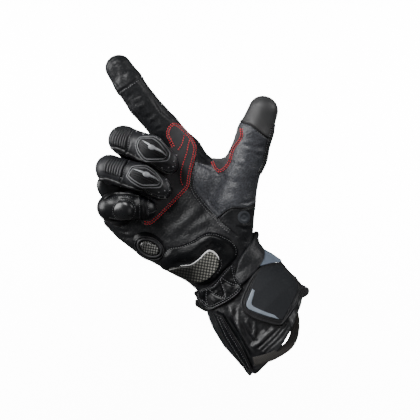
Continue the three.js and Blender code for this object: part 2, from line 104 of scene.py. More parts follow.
# Where the gauntlet starts and ends along the forearm, how far its hem slants, and how far the front drops
CUFF_START, CUFF_END = 16.3, 73.4
CUFF_SLANT, CUFF_DROP = 0.35, 6.8


# Curves, outlines and reliefs, as whole arrays


def unit(v):
    """Vectors of length one."""
    v = np.asarray(v, float)
    return v / np.maximum(np.linalg.norm(v, axis=-1, keepdims=True), 1e-9)


def smooth(t):
    """Soft step: 3t^2 - 2t^3, with t kept between 0 and 1."""
    t = np.clip(t, 0, 1)
    return t * t * (3 - 2 * t)


def resample(points, count):
    """Points spaced evenly along a polyline."""
    p = np.asarray(points, float)
    s = np.concatenate([[0], np.cumsum(np.linalg.norm(np.diff(p, axis=0), axis=1))])
    u = np.linspace(0, s[-1], count)
    return np.stack([np.interp(u, s, p[:, k]) for k in range(p.shape[1])], 1)


def curve(points, count, closed=False):
    """A Catmull-Rom curve through the points, sampled evenly; a closed one ends before its start."""
    p = np.asarray(points, float)
    if closed:
        p = np.vstack([p[-1:], p, p[:2]])
    else:
        p = np.vstack([2 * p[0] - p[1], p, 2 * p[-1] - p[-2]])
    a, b, c, d = (p[i : len(p) - 3 + i, None] for i in range(4))
    t = np.linspace(0, 1, 10, endpoint=False)[None, :, None]
    q = 0.5 * (2 * b + (c - a) * t + (2 * a - 5 * b + 4 * c - d) * t**2 + (3 * b - a - 3 * c + d) * t**3)
    q = np.vstack([q.reshape(-1, p.shape[1]), p[-2]])
    return resample(q, count + 1)[:-1] if closed else resample(q, count)


def nearest(x, z, line):
    """Signed distance to a polyline in the palm's plane, and how far along it the nearest point is."""
    best = np.full(np.broadcast(x, z).shape, 1e9, np.float32)
    signed, share = np.zeros_like(best), np.zeros_like(best)
    count = len(line) - 1
    for i, (a, b) in enumerate(zip(line[:-1], line[1:])):
        step = b - a
        t = np.clip(((x - a[0]) * step[0] + (z - a[1]) * step[1]) / max(step @ step, 1e-9), 0, 1)
        dx, dz = x - a[0] - t * step[0], z - a[1] - t * step[1]
        d = np.hypot(dx, dz)
        closer = d < best
        best = np.where(closer, d, best)
        signed = np.where(closer, np.where(step[0] * dz - step[1] * dx > 0, d, -d), signed)
        share = np.where(closer, (i + t) / count, share)
    return signed, share


def inside(x, z, outline):
    """Whether points of the plane lie inside an outline: an odd number of its sides lie to their right."""
    odd = np.zeros(np.broadcast(x, z).shape, bool)
    p = np.asarray(outline, float)
    for (ax, az), (bx, bz) in zip(p, np.roll(p, -1, axis=0)):
        crosses = (az > z) != (bz > z)
        odd ^= crosses & (x < (bx - ax) * (z - az) / (bz - az if bz != az else 1e-9) + ax)
    return odd


def relief(x, z, rows):
    """Height of seams, folds, ridges and valleys: a bell across each line, faded out at its ends."""
    height = np.zeros(np.broadcast(x, z).shape, np.float32)
    for kind, width, high, points in rows:
        signed, share = nearest(x, z, curve(points, 5 * len(points)))
        q = signed / width
        fade = smooth(np.minimum(share, 1 - share) / 0.22)
        if kind == "seam":
            height += high * (0.55 * np.exp(-((np.abs(q) - 1.9) ** 2)) - np.exp(-q * q))
        elif kind == "fold":
            height += high * fade * (np.exp(-((q - 0.7) ** 2)) - np.exp(-((q + 0.7) ** 2)))
        else:
            height += high * fade * np.exp(-q * q)
    return height


def waves(x, y, z, seed, length, count=7):
    """Soft unevenness: a sum of sines in random directions, with wavelengths about the given length."""
    rng = np.random.default_rng(seed)
    total = 0
    for k in unit(rng.normal(size=(count, 3))):
        f = 2 * math.pi / (length * rng.uniform(0.7, 1.5))
        total = total + np.sin(f * (k[0] * x + k[1] * y + k[2] * z) + rng.uniform(0, 6.28))
    return total / math.sqrt(count)


# The leather's skins, as surfaces of distance fields


def smooth_min(a, b, k):
    """The smaller of two distances, with a fillet of about k between their surfaces."""
    h = np.maximum(k - np.abs(a - b), 0) / k
    return np.minimum(a, b) - h * h * k * 0.25


class Field:
    """A box of points with an even step, in which distances are worked out and a surface is found."""

    def __init__(self, low, high, step):
        self.low, self.step = np.array(low, np.float32), step
        axes = [np.arange(a, b, step, dtype=np.float32) for a, b in zip(low, high)]
        self.x, self.y, self.z = np.meshgrid(*axes, indexing="ij", sparse=True)

    def bone(self, a, b, side):
        """Distance to a tapering bone with an oval section and rounded ends."""
        pa, pb = np.array(a[:3], float), np.array(b[:3], float)
        along = unit(pb - pa)
        wide = unit(np.array(side) - along * (np.array(side) @ along))
        back = np.cross(along, wide)
        dx, dy, dz = self.x - pa[0], self.y - pa[1], self.z - pa[2]
        t, u, v = (dx * k[0] + dy * k[1] + dz * k[2] for k in (along, wide, back))
        length = np.linalg.norm(pb - pa)
        s = np.clip(t / length, 0, 1)
        w, d = a[3] + (b[3] - a[3]) * s, a[4] + (b[4] - a[4]) * s
        r = (w + d) / 2
        return (np.sqrt((u / w) ** 2 + (v / d) ** 2 + ((t - s * length) / r) ** 2) - 1) * r

    def limb(self, name, fillet=1.6):
        """Distance to a limb: its bones joined with a small fillet."""
        side, joints = LIMBS[name]
        bones = [self.bone(a, b, side) for a, b in zip(joints[:-1], joints[1:])]
        total = bones[0]
        for other in bones[1:]:
            total = smooth_min(total, other, fillet)
        return total

    def palm(self):
        """Distance to the glove's palm and back: rounded oblong sections along its axis."""
        t = self.x * HAND_AXIS[0] + self.z * HAND_AXIS[2]
        at = HAND[:, :3] @ HAND_AXIS
        cx, cy, cz, angle, wide, deep = (np.interp(t, at, HAND[:, k]).astype(np.float32) for k in range(6))
        angle = np.radians(angle)
        u = np.abs((self.x - cx) * np.cos(angle) + (self.z - cz) * np.sin(angle)) / wide
        v = np.abs(self.y - cy) / deep
        n = SQUARENESS
        q = np.maximum((u**n + v**n) ** (1 / n), 0.25)
        slope = q ** (1 - n) * np.sqrt((u ** (n - 1) / wide) ** 2 + (v ** (n - 1) / deep) ** 2)
        side = (q - 1) / np.maximum(slope, 1e-3)
        return np.maximum(side, np.maximum(t - at[-1], at[0] - t))

    def surface(self, distance):
        """Points and outward quads where the distance is zero."""
        grid = openvdb.FloatGrid(background=3.0)
        grid.copyFromArray(np.ascontiguousarray(np.clip(distance, -3, 3), dtype=np.float32))
        points, quads = grid.convertToQuads(0.0)
        points = points.astype(float) * self.step + self.low
        a, b, c = (points[quads[:, k]] for k in range(3))
        if np.einsum("ij,ij->", a, np.cross(b, c)) < 0:
            quads = quads[:, ::-1]
        return points, quads.astype(int)


# Surfaces of two parameters, and the ways to lay them on the leather


def grid_quads(rows, cols, wrap=False):
    """Quads of a grid; wrap joins the last column to the first."""
    r = np.arange(rows - 1)[:, None]
    c = np.arange(cols if wrap else cols - 1)[None]
    n = (c + 1) % cols
    return np.stack([r * cols + c, r * cols + n, (r + 1) * cols + n, (r + 1) * cols + c], -1).reshape(-1, 4)


def normals_of(grid, wrap=False):
    """Unit normals of a grid of points, by the cross product of its two directions."""
    if wrap:
        du = np.roll(grid, -1, 1) - np.roll(grid, 1, 1)
    else:
        du = np.gradient(grid, axis=1)
    return unit(np.cross(du, np.gradient(grid, axis=0)))


def cornered(points, share=0.16):
    """A closed outline whose sides stay straight: each is kept from one share of its length to the other."""
    p = np.asarray(points, float)
    after = np.roll(p, -1, axis=0)
    return np.stack([p + (after - p) * share, after + (p - after) * share], 1).reshape(-1, p.shape[1])


def coons(bottom, top, left, right, rows, cols):
    """A patch between four curves: bottom and top run left to right, left and right run bottom to top."""
    return between(curve(bottom, cols), curve(top, cols), curve(left, rows), curve(right, rows))


def between(b, t, l, r):
    """Points between four sides: each pair of sides blended linearly, less the blend of the corners."""
    u, v = np.linspace(0, 1, len(b))[None, :, None], np.linspace(0, 1, len(l))[:, None, None]
    corners = (1 - u) * (1 - v) * b[0] + u * (1 - v) * b[-1] + (1 - u) * v * t[0] + u * v * t[-1]
    return (1 - v) * b[None] + v * t[None] + (1 - u) * l[:, None] + u * r[:, None] - corners


def fan(centre, outline, rows, cols):
    """A patch in rings from a centre to a closed outline, with rings of even area."""
    edge = curve(outline, cols, closed=True)[None]
    share = ring_share(rows)[..., None]
    return np.array(centre) + (edge - np.array(centre)) * share


def edge_distance(grid, wrap=False):
    """Distance along the sheet from each point to its nearest edge; a wrapped grid has only an outer one."""
    down = np.concatenate([np.zeros((1, grid.shape[1])),
                           np.cumsum(np.linalg.norm(np.diff(grid, axis=0), axis=-1), 0)])
    if wrap:
        return down[-1] - down
    over = np.concatenate([np.zeros((grid.shape[0], 1)),
                           np.cumsum(np.linalg.norm(np.diff(grid, axis=1), axis=-1), 1)], 1)
    return np.minimum(np.minimum(down, down[-1] - down), np.minimum(over, over[:, -1:] - over))


def ring_share(rows):
    """How far out each ring of a fan lies: 0 at its centre and 1 at its edge."""
    return np.sqrt(np.linspace(1e-6, 1, rows))[:, None]


def even_share(rows):
    """Even steps from a fan's centre to its edge."""
    return np.linspace(1e-3, 1, rows)[:, None]


def padded_height(grid, thick, bevel, wrap=False, tuck=0.5):
    """Thickness with a quarter-round edge, tucked a little under the surface at the very edge."""
    d = edge_distance(grid, wrap)
    round_ = np.sqrt(1 - (1 - np.clip(d / bevel, 0, 1)) ** 2)
    return thick * round_ - tuck * (d < 1e-6)


class Drape:
    """Depths of the surface seen along Y over a grid of the palm's plane; pieces are laid on it."""

    def __init__(self, meshes, low, high, step=0.6, sign=-1):
        self.low, self.step, self.sign = np.array(low, float), step, sign
        x, z = (np.arange(a, b, step) for a, b in zip(low, high))
        gx, gz = np.meshgrid(x, z, indexing="ij")
        start = np.stack([gx, np.full_like(gx, PROBE_FROM * sign), gz], -1).reshape(-1, 3)
        target = raw_object("drape_target", *join_meshes(meshes))
        probe = raw_object("drape_probe", start, np.zeros((0, 4), int))
        wrap = probe.modifiers.new("drape", "SHRINKWRAP")
        wrap.wrap_method = "PROJECT"
        wrap.target = target
        wrap.use_project_y = True
        wrap.use_positive_direction = sign < 0
        wrap.use_negative_direction = sign > 0
        evaluated = probe.evaluated_get(bpy.context.evaluated_depsgraph_get())
        found = np.empty(len(start) * 3)
        evaluated.data.vertices.foreach_get("co", found)
        depth = found.reshape(-1, 3)[:, 1].reshape(gx.shape) / MM
        for thing in (probe, target):
            mesh = thing.data
            bpy.data.objects.remove(thing)
            bpy.data.meshes.remove(mesh)
        depth[np.abs(depth) > PROBE_FROM - 1] = np.nan
        for _ in range(FILL_ROUNDS):
            padded = np.pad(depth, 1, constant_values=np.nan)
            around = np.stack([padded[2:, 1:-1], padded[:-2, 1:-1], padded[1:-1, 2:], padded[1:-1, :-2]])
            known = ~np.isnan(around)
            mean = np.where(known, around, 0).sum(0) / np.maximum(known.sum(0), 1)
            depth = np.where(np.isnan(depth) & known.any(0), mean, depth)
        self.depth = np.nan_to_num(depth, nan=0.0)

    def at(self, x, z):
        """Depth at points of the palm's plane, by linear interpolation both ways."""
        u, v = (x - self.low[0]) / self.step, (z - self.low[1]) / self.step
        i = np.clip(np.floor(u).astype(int), 0, self.depth.shape[0] - 2)
        j = np.clip(np.floor(v).astype(int), 0, self.depth.shape[1] - 2)
        f, g = np.clip(u - i, 0, 1), np.clip(v - j, 0, 1)
        d = self.depth
        low = d[i, j] * (1 - f) + d[i + 1, j] * f
        high = d[i, j + 1] * (1 - f) + d[i + 1, j + 1] * f
        return low * (1 - g) + high * g

    def place(self, flat, height=0.0, reach=0.9):
        """Points on the surface, lifted along its normals, and those. The slope is taken over a reach."""
        x, z = flat[..., 0], flat[..., 1]
        sx = (self.at(x + reach, z) - self.at(x - reach, z)) / (2 * reach)
        sz = (self.at(x, z + reach) - self.at(x, z - reach)) / (2 * reach)
        normal = self.sign * unit(np.stack([-sx, np.ones_like(sx), -sz], -1))
        point = np.stack([x, self.at(x, z), z], -1)
        return point + normal * np.asarray(height)[..., None], normal


def cuff_section(a):
    """The gauntlet's shift across, half width and half depth at distances down the forearm."""
    return (np.interp(a, CUFF[:, 0], CUFF[:, k]) for k in (1, 2, 3))


def cuff_share(a):
    """How far down the gauntlet distances are: 0 at its start, 1 at its hem and a little more past it."""
    return np.clip((a - CUFF_START) / (CUFF_END - CUFF_START), 0, 1.2)


def cuff(a, turn, lift=0.0, ripple=0.0):
    """Points of the gauntlet's tube, from the distance down the forearm and the turn from its right side.

    Its section is |u/w|^n + |v/d|^n = 1. The hem slants, and drops with the fourth power of the distance.
    """
    shift, wide, deep = cuff_section(a)
    share = cuff_share(a)
    c, s = np.cos(turn), np.sin(turn)
    c, s = (np.sign(k) * np.abs(k) ** (2 / SQUARENESS) for k in (c, s))
    offset = (wide + lift) * c * (1 + ripple)
    down = a + CUFF_DROP * share**4 * np.sin(turn) ** 2 - CUFF_SLANT * share**2 * offset
    flat = down[..., None] * FOREARM + (shift + offset)[..., None] * ACROSS
    return flat + ((deep + lift) * s * (1 + ripple))[..., None] * np.array([0.0, 1.0, 0.0])


def cuff_place(flat):
    """The gauntlet's parameters for points seen from the palm side, found in a few rounds of its own formula.

    Beyond the edge they go on round the back.
    """
    flat = np.asarray(flat, float)
    down = flat[..., 0] * FOREARM[0] + flat[..., 1] * FOREARM[2]
    over = flat[..., 0] * ACROSS[0] + flat[..., 1] * ACROSS[2]
    a = down.copy()
    for _ in range(8):
        shift, wide, deep = cuff_section(a)
        share = cuff_share(a)
        c = np.clip((over - shift) / wide, -1, 1)
        angle = np.arccos(np.sign(c) * np.abs(c) ** (SQUARENESS / 2))
        past = np.maximum(np.abs(over - shift) - wide, 0) / deep * 1.6
        turn = -np.where(c > 0, angle - past, angle + past)
        a = down - CUFF_DROP * share**4 * np.sin(turn) ** 2 + CUFF_SLANT * share**2 * wide * c
    return np.stack([a, turn], -1)


def beside_cuff(flat, near=0.88):
    """Depth of the gauntlet's front at points of the palm's plane; near its edge it goes on straight."""
    x, z = flat[..., 0], flat[..., 1]
    down = x * FOREARM[0] + z * FOREARM[2]
    over = x * ACROSS[0] + z * ACROSS[2]
    shift, _, _ = cuff_section(down)
    at = down + CUFF_SLANT * cuff_share(down) ** 2 * (over - shift)
    shift, wide, deep = cuff_section(at)
    q = np.abs((over - shift) / wide)
    n = SQUARENESS
    kept = np.minimum(q, near)
    rest = 1 - kept**n
    slope = rest ** (1 / n - 1) * kept ** (n - 1)
    return -deep * (rest ** (1 / n) - slope * (q - kept))


def tongue(grid, depth, thick):
    """A flat tab at one depth, with rounded edges on both faces."""
    height = padded_height(grid, thick, thick / 2, tuck=0)
    front, back = (np.stack([grid[..., 0], depth + s * height / 2, grid[..., 1]], -1) for s in (-1, 1))
    return join_meshes([sheet_mesh(front), sheet_mesh(back, toward=(0, 1, 0))])


def slab(flat, depth, thick, bevel, wrap=False):
    """A closed sheet over points of the palm's plane, with its back at the given depth and rounded edges."""
    grid = np.stack([flat[..., 0], depth, flat[..., 1]], -1)
    swell = np.sqrt(1 - (1 - np.clip(edge_distance(grid, wrap) / bevel, 0, 1)) ** 2) * thick / 2
    front, back = grid.copy(), grid.copy()
    front[..., 1] -= thick / 2 + swell
    back[..., 1] -= thick / 2 - swell
    return join_meshes([sheet_mesh(front, wrap), sheet_mesh(back, wrap, (0, 1, 0))])


def tube(path, radius, up, around=8, flat=1.0, closed=False):
    """A round or flattened profile along a path. Its radius may vary."""
    path = np.asarray(path, float)
    if closed:
        along = unit(np.roll(path, -1, 0) - np.roll(path, 1, 0))
    else:
        along = unit(np.gradient(path, axis=0))
    side = unit(np.cross(along, up))
    out = unit(np.cross(side, along))
    radius = np.broadcast_to(np.asarray(radius, float), (len(path),))[:, None, None]
    angle = np.linspace(0, 2 * math.pi, around, endpoint=False)[None, :, None]
    points = path[:, None] + radius * (np.cos(angle) * side[:, None] + flat * np.sin(angle) * out[:, None])
    quads = grid_quads(len(path), around, wrap=True)
    if closed:
        points = np.concatenate([points, points[:1]])
        quads = grid_quads(len(path) + 1, around, wrap=True)
    return points.reshape(-1, 3), quads


def stitches(path, up, pitch, length, radius, around=6):
    """Short rounded threads along a path, each dipping into the leather at its ends."""
    s = np.concatenate([[0], np.cumsum(np.linalg.norm(np.diff(path, axis=0), axis=1))])
    count = max(int(s[-1] / pitch), 1)
    at = (np.arange(count) + 0.5) * s[-1] / count

    def pick(rows):
        return np.stack([np.interp(at, s, rows[:, k]) for k in range(3)], 1)

    centre, out = pick(path), unit(pick(up))
    along = unit(pick(np.gradient(path, axis=0)))
    side = unit(np.cross(along, out))
    t = np.linspace(-1, 1, 6)
    r = radius * np.sqrt(np.clip(1.02 - t**4, 0.02, 1))
    angle = np.linspace(0, 2 * math.pi, around, endpoint=False)
    spine = centre[:, None] + along[:, None] * (t * length / 2)[None, :, None]
    spine = spine - out[:, None] * (radius * 1.1 * t**4)[None, :, None]
    ring = np.cos(angle)[:, None] * side[:, None, None] + np.sin(angle)[:, None] * out[:, None, None]
    points = spine[:, :, None] + r[None, :, None, None] * ring
    quads = grid_quads(len(t), around, wrap=True)
    each = len(t) * around
    return points.reshape(-1, 3), (quads[None] + (np.arange(count) * each)[:, None, None]).reshape(-1, 4)


def join_meshes(meshes):
    """One pair of points and quads from several."""
    points, quads, start = [], [], 0
    for p, q in meshes:
        points.append(np.asarray(p).reshape(-1, 3))
        quads.append(np.asarray(q) + start)
        start += len(points[-1])
    return np.vstack(points), np.vstack(quads)


def raw_object(name, points, quads):
    """An object from points in millimetres, written in metres, and quads."""
    mesh = bpy.data.meshes.new(name)
    points = np.asarray(points, float).reshape(-1, 3)
    mesh.vertices.add(len(points))
    mesh.vertices.foreach_set("co", (points * MM).ravel())
    if len(quads):
        mesh.loops.add(len(quads) * 4)
        mesh.loops.foreach_set("vertex_index", np.asarray(quads).ravel())
        mesh.polygons.add(len(quads))
        mesh.polygons.foreach_set("loop_start", np.arange(len(quads)) * 4)
        mesh.polygons.foreach_set("use_smooth", np.ones(len(quads), bool))
    mesh.update(calc_edges=True)
    thing = bpy.data.objects.new(name, mesh)
    bpy.context.scene.collection.objects.link(thing)
    return thing


def facing(points, quads, toward):
    """The quads, turned round if on the whole they face away from a direction."""
    a, b, c = (points[quads[:, k]] for k in range(3))
    return quads if (np.cross(b - a, c - a) @ np.asarray(toward, float)).sum() > 0 else quads[:, ::-1]


# The meshes of pieces made so far, and the drapes over them
MADE = {}


def piece(name, mesh, material, nodes=()):
    """A finished piece of the glove: its mesh, its material's short name and its CAD nodes."""
    points, quads = mesh
    if not len(quads):
        raise RuntimeError(f"{name} has no faces")
    thing = raw_object(name, points, quads)
    thing.data.materials.append(MATERIALS[material])
    MADE[name] = (np.asarray(points).reshape(-1, 3), np.asarray(quads))
    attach(thing, "root")
    if nodes:
        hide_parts(*nodes)
    return thing


def sheet_mesh(grid, wrap=False, toward=(0, -1, 0)):
    """Points and quads of a grid, facing a direction."""
    points = grid.reshape(-1, 3)
    return points, facing(points, grid_quads(*grid.shape[:2], wrap=wrap), toward)


def part_of(mesh, keep):
    """The chosen faces of a mesh, with only their points."""
    points, quads = mesh
    used, index = np.unique(quads[keep], return_inverse=True)
    return points[used], index.reshape(-1, 4)


# Materials


class Socket:
    """An output of a node. Arithmetic on it adds Math nodes."""

    def __init__(self, tree, socket):
        self.tree, self.socket = tree, socket

    def math(self, operation, other=0.0, clamp=False):
        """A Math node of this output and another one, or a number."""
        node = self.tree.nodes.new("ShaderNodeMath")
        node.operation, node.use_clamp = operation, clamp
        feed(self.tree, node.inputs[0], self)
        feed(self.tree, node.inputs[1], other)
        return Socket(self.tree, node.outputs[0])

    def __add__(self, other):
        return self.math("ADD", other)

    def __sub__(self, other):
        return self.math("SUBTRACT", other)

    def __rsub__(self, other):
        return self.math("MULTIPLY", -1.0).math("ADD", other)

    def __mul__(self, other):
        return self.math("MULTIPLY", other)

    __radd__ = __add__
    __rmul__ = __mul__

    def power(self, exponent):
        """This output raised to a power."""
        return self.math("POWER", exponent)

    def ramp(self, low, high):
        """0 below the low value, 1 above the high one."""
        return (self - low).math("MULTIPLY", 1 / (high - low), clamp=True)


def feed(tree, slot, value):
    """Link an output to a node's socket, or set the socket's own value."""
    if isinstance(value, Socket):
        tree.links.new(value.socket, slot)
    else:
        slot.default_value = value


def rgba(colour):
    """A colour with its fourth number; an output is left as it is."""
    return colour if isinstance(colour, Socket) else (*colour[:3], 1)


def times(colour, factor, lift=0.0):
    """A colour made lighter or darker, and kept below white."""
    return [min(1, c * factor + lift) for c in colour]


class Shader:
    """A material's node tree, with one method that makes any node."""

    def __init__(self, name):
        self.material = bpy.data.materials.new(name)
        self.material.use_nodes = True
        self.tree = self.material.node_tree
        self.tree.nodes.clear()

    def make(self, kind, output=0, settings=(), **inputs):
        """Any node: its type, output and settings, and its sockets' values or links by name or _number."""
        node = self.tree.nodes.new("ShaderNode" + kind)
        for key, value in dict(settings).items():
            setattr(node, key, value)
        for key, value in inputs.items():
            feed(self.tree, node.inputs[int(key[1:]) if key[0] == "_" else key.replace("_", " ")], value)
        return Socket(self.tree, node.outputs[output])

    def place(self):
        """The piece's own coordinates, in metres."""
        return self.make("TexCoord", 3)

    def noise(self, scale, detail=3.0, rough=0.55, at=None):
        """Fractal noise with this many cells a metre."""
        return self.make("TexNoise", Vector=at or self.place(), Scale=scale, Detail=detail, Roughness=rough)

    def blend(self, share, low, high):
        """Colour between two colours."""
        return self.make("Mix", 2, {"data_type": "RGBA"}, _0=share, _6=rgba(low), _7=rgba(high))

    def bump(self, height, distance, strength=1.0):
        """A normal tilted by a height, whose full range stands for a distance in millimetres."""
        return self.make("Bump", Height=height, Distance=distance * MM, Strength=strength)

    def finish(self, colour, roughness, normal=None, **constants):
        """The finished material: one Principled shader, with its constants on its own sockets."""
        if normal:
            constants["Normal"] = normal
        shader = self.make("BsdfPrincipled", Base_Color=rgba(colour), Roughness=roughness, **constants)
        out = self.tree.nodes.new("ShaderNodeOutputMaterial")
        self.tree.links.new(shader.socket, out.inputs[0])
        return self.material


# Cells of noise in a metre: a weave's grit, leather's pores, its fine wrinkles and its worn patches
GRIT, PORES, WRINKLES, WORN = 1800, 2600, 420, 90
# How far the leather's pebbles lean, in radians, and how they are drawn out
PEBBLE_TURN, PEBBLE_STRETCH = 0.44, (0.7, 1.0, 1.0)


def leather(name, colour, roughness, pebble, depth, wear, coat, grain_and_highlight, creases, specular):
    """Grained leather: soft pebbles drawn out along a slant, fine pores and paler worn patches at random. The
    pebble tops are smoother and painted paler than the hollows: partly grain, partly painted highlight.
    """
    s = Shader(name)
    turned = s.make("VectorRotate", 0, {"rotation_type": "Y_AXIS"}, Vector=s.place(), Angle=PEBBLE_TURN)
    slanted = s.make("VectorMath", 0, {"operation": "MULTIPLY"}, _0=turned, _1=PEBBLE_STRETCH)
    cells = s.noise(1 / (pebble * MM), 1.0, 0.5, slanted).ramp(0.3, 0.7)
    fine = s.noise(PORES, 4.0, 0.6)
    broad = s.noise(WORN, 3.0, 0.5)
    lines = s.noise(WRINKLES, 5.0, 0.62).ramp(0.35, 0.7)
    height = cells + fine * 0.2 + lines * creases
    # Painted highlight: the pebbles' tops are made paler in the colour than the hollows, on top of the random
    # worn patches
    shade = broad.ramp(0.3, 0.75) * wear + cells * grain_and_highlight
    tone = s.blend(shade, colour, times(colour, 2.4, 0.004))
    rough = broad * 0.06 + roughness - cells * 0.06
    return s.finish(tone, rough, s.bump(height, depth, 0.9), Coat_Weight=coat, Coat_Roughness=0.3,
                    Specular_IOR_Level=specular)


def suede(name, colour):
    """Napped leather: matt, with a soft mottled pile."""
    s = Shader(name)
    pile = s.noise(1500, 5.0, 0.7)
    patches = s.noise(160, 3.0, 0.5).ramp(0.3, 0.7)
    tone = s.blend(patches * 0.6 + pile * 0.4, colour, times(colour, 2.2, 0.002))
    return s.finish(tone, pile * 0.1 + 0.85, s.bump(pile, 0.16), Sheen_Weight=0.35, Sheen_Roughness=0.6)


def plain(name, colour, roughness, fine, depth, metallic=0.0, coat=0.0, scuffs=0.5, specular=0.5):
    """A moulded surface with slight mottling, scuffs and a fine texture."""
    s = Shader(name)
    mottle = s.noise(fine, 4.0, 0.6)
    broad = s.noise(140, 3.0, 0.5).ramp(0.35, 0.7)
    tone = s.blend(broad * scuffs + mottle * 0.2, colour, times(colour, 1.35, 0.01))
    rough = broad * 0.12 + mottle * 0.08 + (roughness - 0.08)
    return s.finish(tone, rough, s.bump(mottle, depth), Metallic=metallic, Coat_Weight=coat,
                    Coat_Roughness=0.08, Specular_IOR_Level=specular)


def woven(name, colour, raised_thread_and_sheen, pitch, turn, depth, roughness, coat=0.0, coat_rough=0.05, spots=(0.05, 0.5),
          fade=None, specular=0.5):
    """A weave: two sets of threads as sines across each other, swapped over and under in a chequer. The
    raised threads take the second colour: the cloth's own on flap and webbing, and painted reflection on the
    carbon weaves.
    """
    s = Shader(name)
    split = s.make("SeparateXYZ", 0, Vector=s.place())
    x, z = split, Socket(s.tree, split.socket.node.outputs[2])
    c, n = math.cos(turn) * math.pi / (pitch * MM), math.sin(turn) * math.pi / (pitch * MM)
    u, v = x * c + z * n, z * c - x * n
    su, sv = u.math("SINE"), v.math("SINE")
    over = (su * sv).math("MULTIPLY", 6.0).math("ADD", 0.5, clamp=True)
    gaps = su.math("ABSOLUTE") * sv.math("ABSOLUTE")
    height = gaps.power(0.5) * 0.8 + over * 0.2
    share = (over * 0.9 + 0.1) * gaps.ramp(*spots)
    # Painted reflection: the raised threads' colour fades out from fade[1] down to fade[0], so the weave
    # looks lit towards +X
    if fade:
        share = share * (x.ramp(fade[0] * MM, fade[1] * MM) * 0.92 + 0.08)
    tone = s.blend(share, colour, raised_thread_and_sheen)
    grit = s.noise(GRIT, 3.0)
    return s.finish(tone, grit * 0.1 + (roughness - 0.05), s.bump(height + grit * 0.1, depth),
                    Coat_Weight=coat, Coat_Roughness=coat_rough, Specular_IOR_Level=specular)


def thread(name, colour):
    """Twisted sewing thread: fine slanting ribs and a little fuzz."""
    s = Shader(name)
    diagonal = {"bands_direction": "DIAGONAL"}
    twist = s.make("TexWave", 1, diagonal, Vector=s.place(), Scale=900.0, Distortion=2.0)
    fuzz = s.noise(3000, 2.0)
    tone = s.blend(twist * 0.6 + fuzz * 0.4, times(colour, 0.55), times(colour, 1.25))
    return s.finish(tone, fuzz * 0.2 + 0.5, s.bump(twist, 0.08), Sheen_Weight=0.2)


# Seams, folds and valleys of the palm's leather: kind, width, height and the path in the palm's plane
HAND_RELIEF = [
    ("seam", 0.75, 0.55, [(-79, 135.5), (-71, 140.5), (-61, 148.5)]),
    ("seam", 0.7, 0.4, [(-64.5, 147.5), (-60, 140), (-53.5, 131.5), (-47, 121), (-40, 114.5), (-33, 109),
                        (-26, 101)]),
    ("seam", 0.8, 0.6, [(16, 112.5), (26, 108.7), (33, 103.2), (41, 97.5)]),
    ("seam", 0.8, 0.65, [(-18, 81), (-20, 72), (-20, 62), (-18, 56), (-12, 48), (-6, 41), (0, 35), (3, 31),
                         (10, 25), (15, 21)]),
    ("seam", 0.7, 0.45, [(-18, 80), (-10, 76), (0, 70)]),
    ("seam", 0.8, 0.6, [(0, 35), (5, 39.5), (11, 43), (20, 43), (26, 44), (31, 47.5)]),
    ("valley", 1.1, -0.9, [(17, 47.5), (24, 47.5), (31, 51.5)]),
    ("fold", 1.6, 0.7, [(13, 30.5), (20, 28), (29, 28)]),
    ("fold", 3.8, 0.5, [(-38, 20), (-28, 27), (-18, 36), (-9, 46)]),
    ("fold", 3.2, 0.42, [(-27, 21), (-15, 28), (-3, 33)]),
    ("fold", 3.4, 0.3, [(-44, 30), (-34, 36), (-24, 48)]),
    ("fold", 2.4, 0.5, [(-55, 26), (-45, 24), (-36, 17)]),
    ("fold", 1.4, 0.42, [(-68, 126.4), (-63.3, 128), (-59.4, 131)]),
    ("fold", 1.2, 0.34, [(-63.6, 121.6), (-59.9, 123.4), (-56, 126.6)]),
    ("fold", 1.6, 0.46, [(-59, 115.6), (-54.3, 118), (-50, 121)]),
    ("fold", 1.3, 0.36, [(-54.6, 111.2), (-50.9, 113.4), (-47, 116.4)]),
    ("fold", 1.4, 0.36, [(-50.6, 106), (-47, 108), (-43, 110.6)]),
    ("seam", 0.6, 0.4, [(-80.3, 163), (-86, 158.4), (-86.6, 152), (-83.6, 145), (-78.8, 137.8), (-72, 128),
                        (-65.4, 119), (-59.8, 111)]),
    ("fold", 1.2, 0.3, [(-84.7, 156), (-80.2, 158.4), (-75, 157.2)]),
    ("fold", 1.6, 0.3, [(-82, 156.6), (-79.2, 151), (-79, 145.6), (-82, 142.4)]),
    ("fold", 1.6, 0.28, [(-68.6, 153.4), (-71.8, 150), (-75, 147)]),
    ("fold", 1.6, 0.3, [(-74, 131), (-69, 135), (-64, 138)]),
    ("fold", 2.2, 0.35, [(7, 84), (14, 79), (24, 77)]),
    ("fold", 2.6, 0.4, [(2, 72), (12, 66), (26, 66)]),
    ("fold", 3.0, 0.25, [(-6, 62), (6, 57), (22, 58)]),
    ("fold", 1.6, 0.4, [(18, 96), (26, 93), (38, 93)]),
    ("fold", 1.5, 0.4, [(20, 90), (28, 87), (38, 86)]),
    ("fold", 1.8, 0.5, [(-16, 90), (-10, 84), (-4, 79)]),
    ("fold", 2.0, 0.8, [(-90, 33), (-82, 27), (-70, 24)]),
    ("fold", 1.6, 0.7, [(-86, 27), (-78, 22), (-66, 20)]),
    ("valley", 3.0, -0.8, [(19, 14), (24, 20), (29, 27)]),
]
# The same for the back of the glove
BACK_RELIEF = [
    ("seam", 0.8, 0.6, [(-8, 86), (-4, 60), (4, 30), (8, 0)]),
    ("seam", 0.8, 0.6, [(-78, 30), (-58, 14), (-36, -2), (-20, -14)]),
    ("fold", 2.6, 0.9, [(-30, 6), (-14, 12), (6, 22)]),
    ("fold", 2.6, 0.8, [(-22, -4), (-4, 2), (14, 12)]),
    ("seam", 0.8, 0.6, [(-72, 142), (-78, 139), (-88, 142)]),
    ("fold", 1.8, 0.7, [(-62, 112), (-52, 118), (-44, 120)]),
    ("fold", 1.8, 0.7, [(-74, 128), (-66, 132), (-56, 138)]),
    ("fold", 1.8, 0.6, [(16, 84), (26, 82), (38, 84)]),
    ("seam", 0.8, 0.6, [(16, 112.5), (26, 108.7), (33, 103.2), (41, 97.5)]),
]
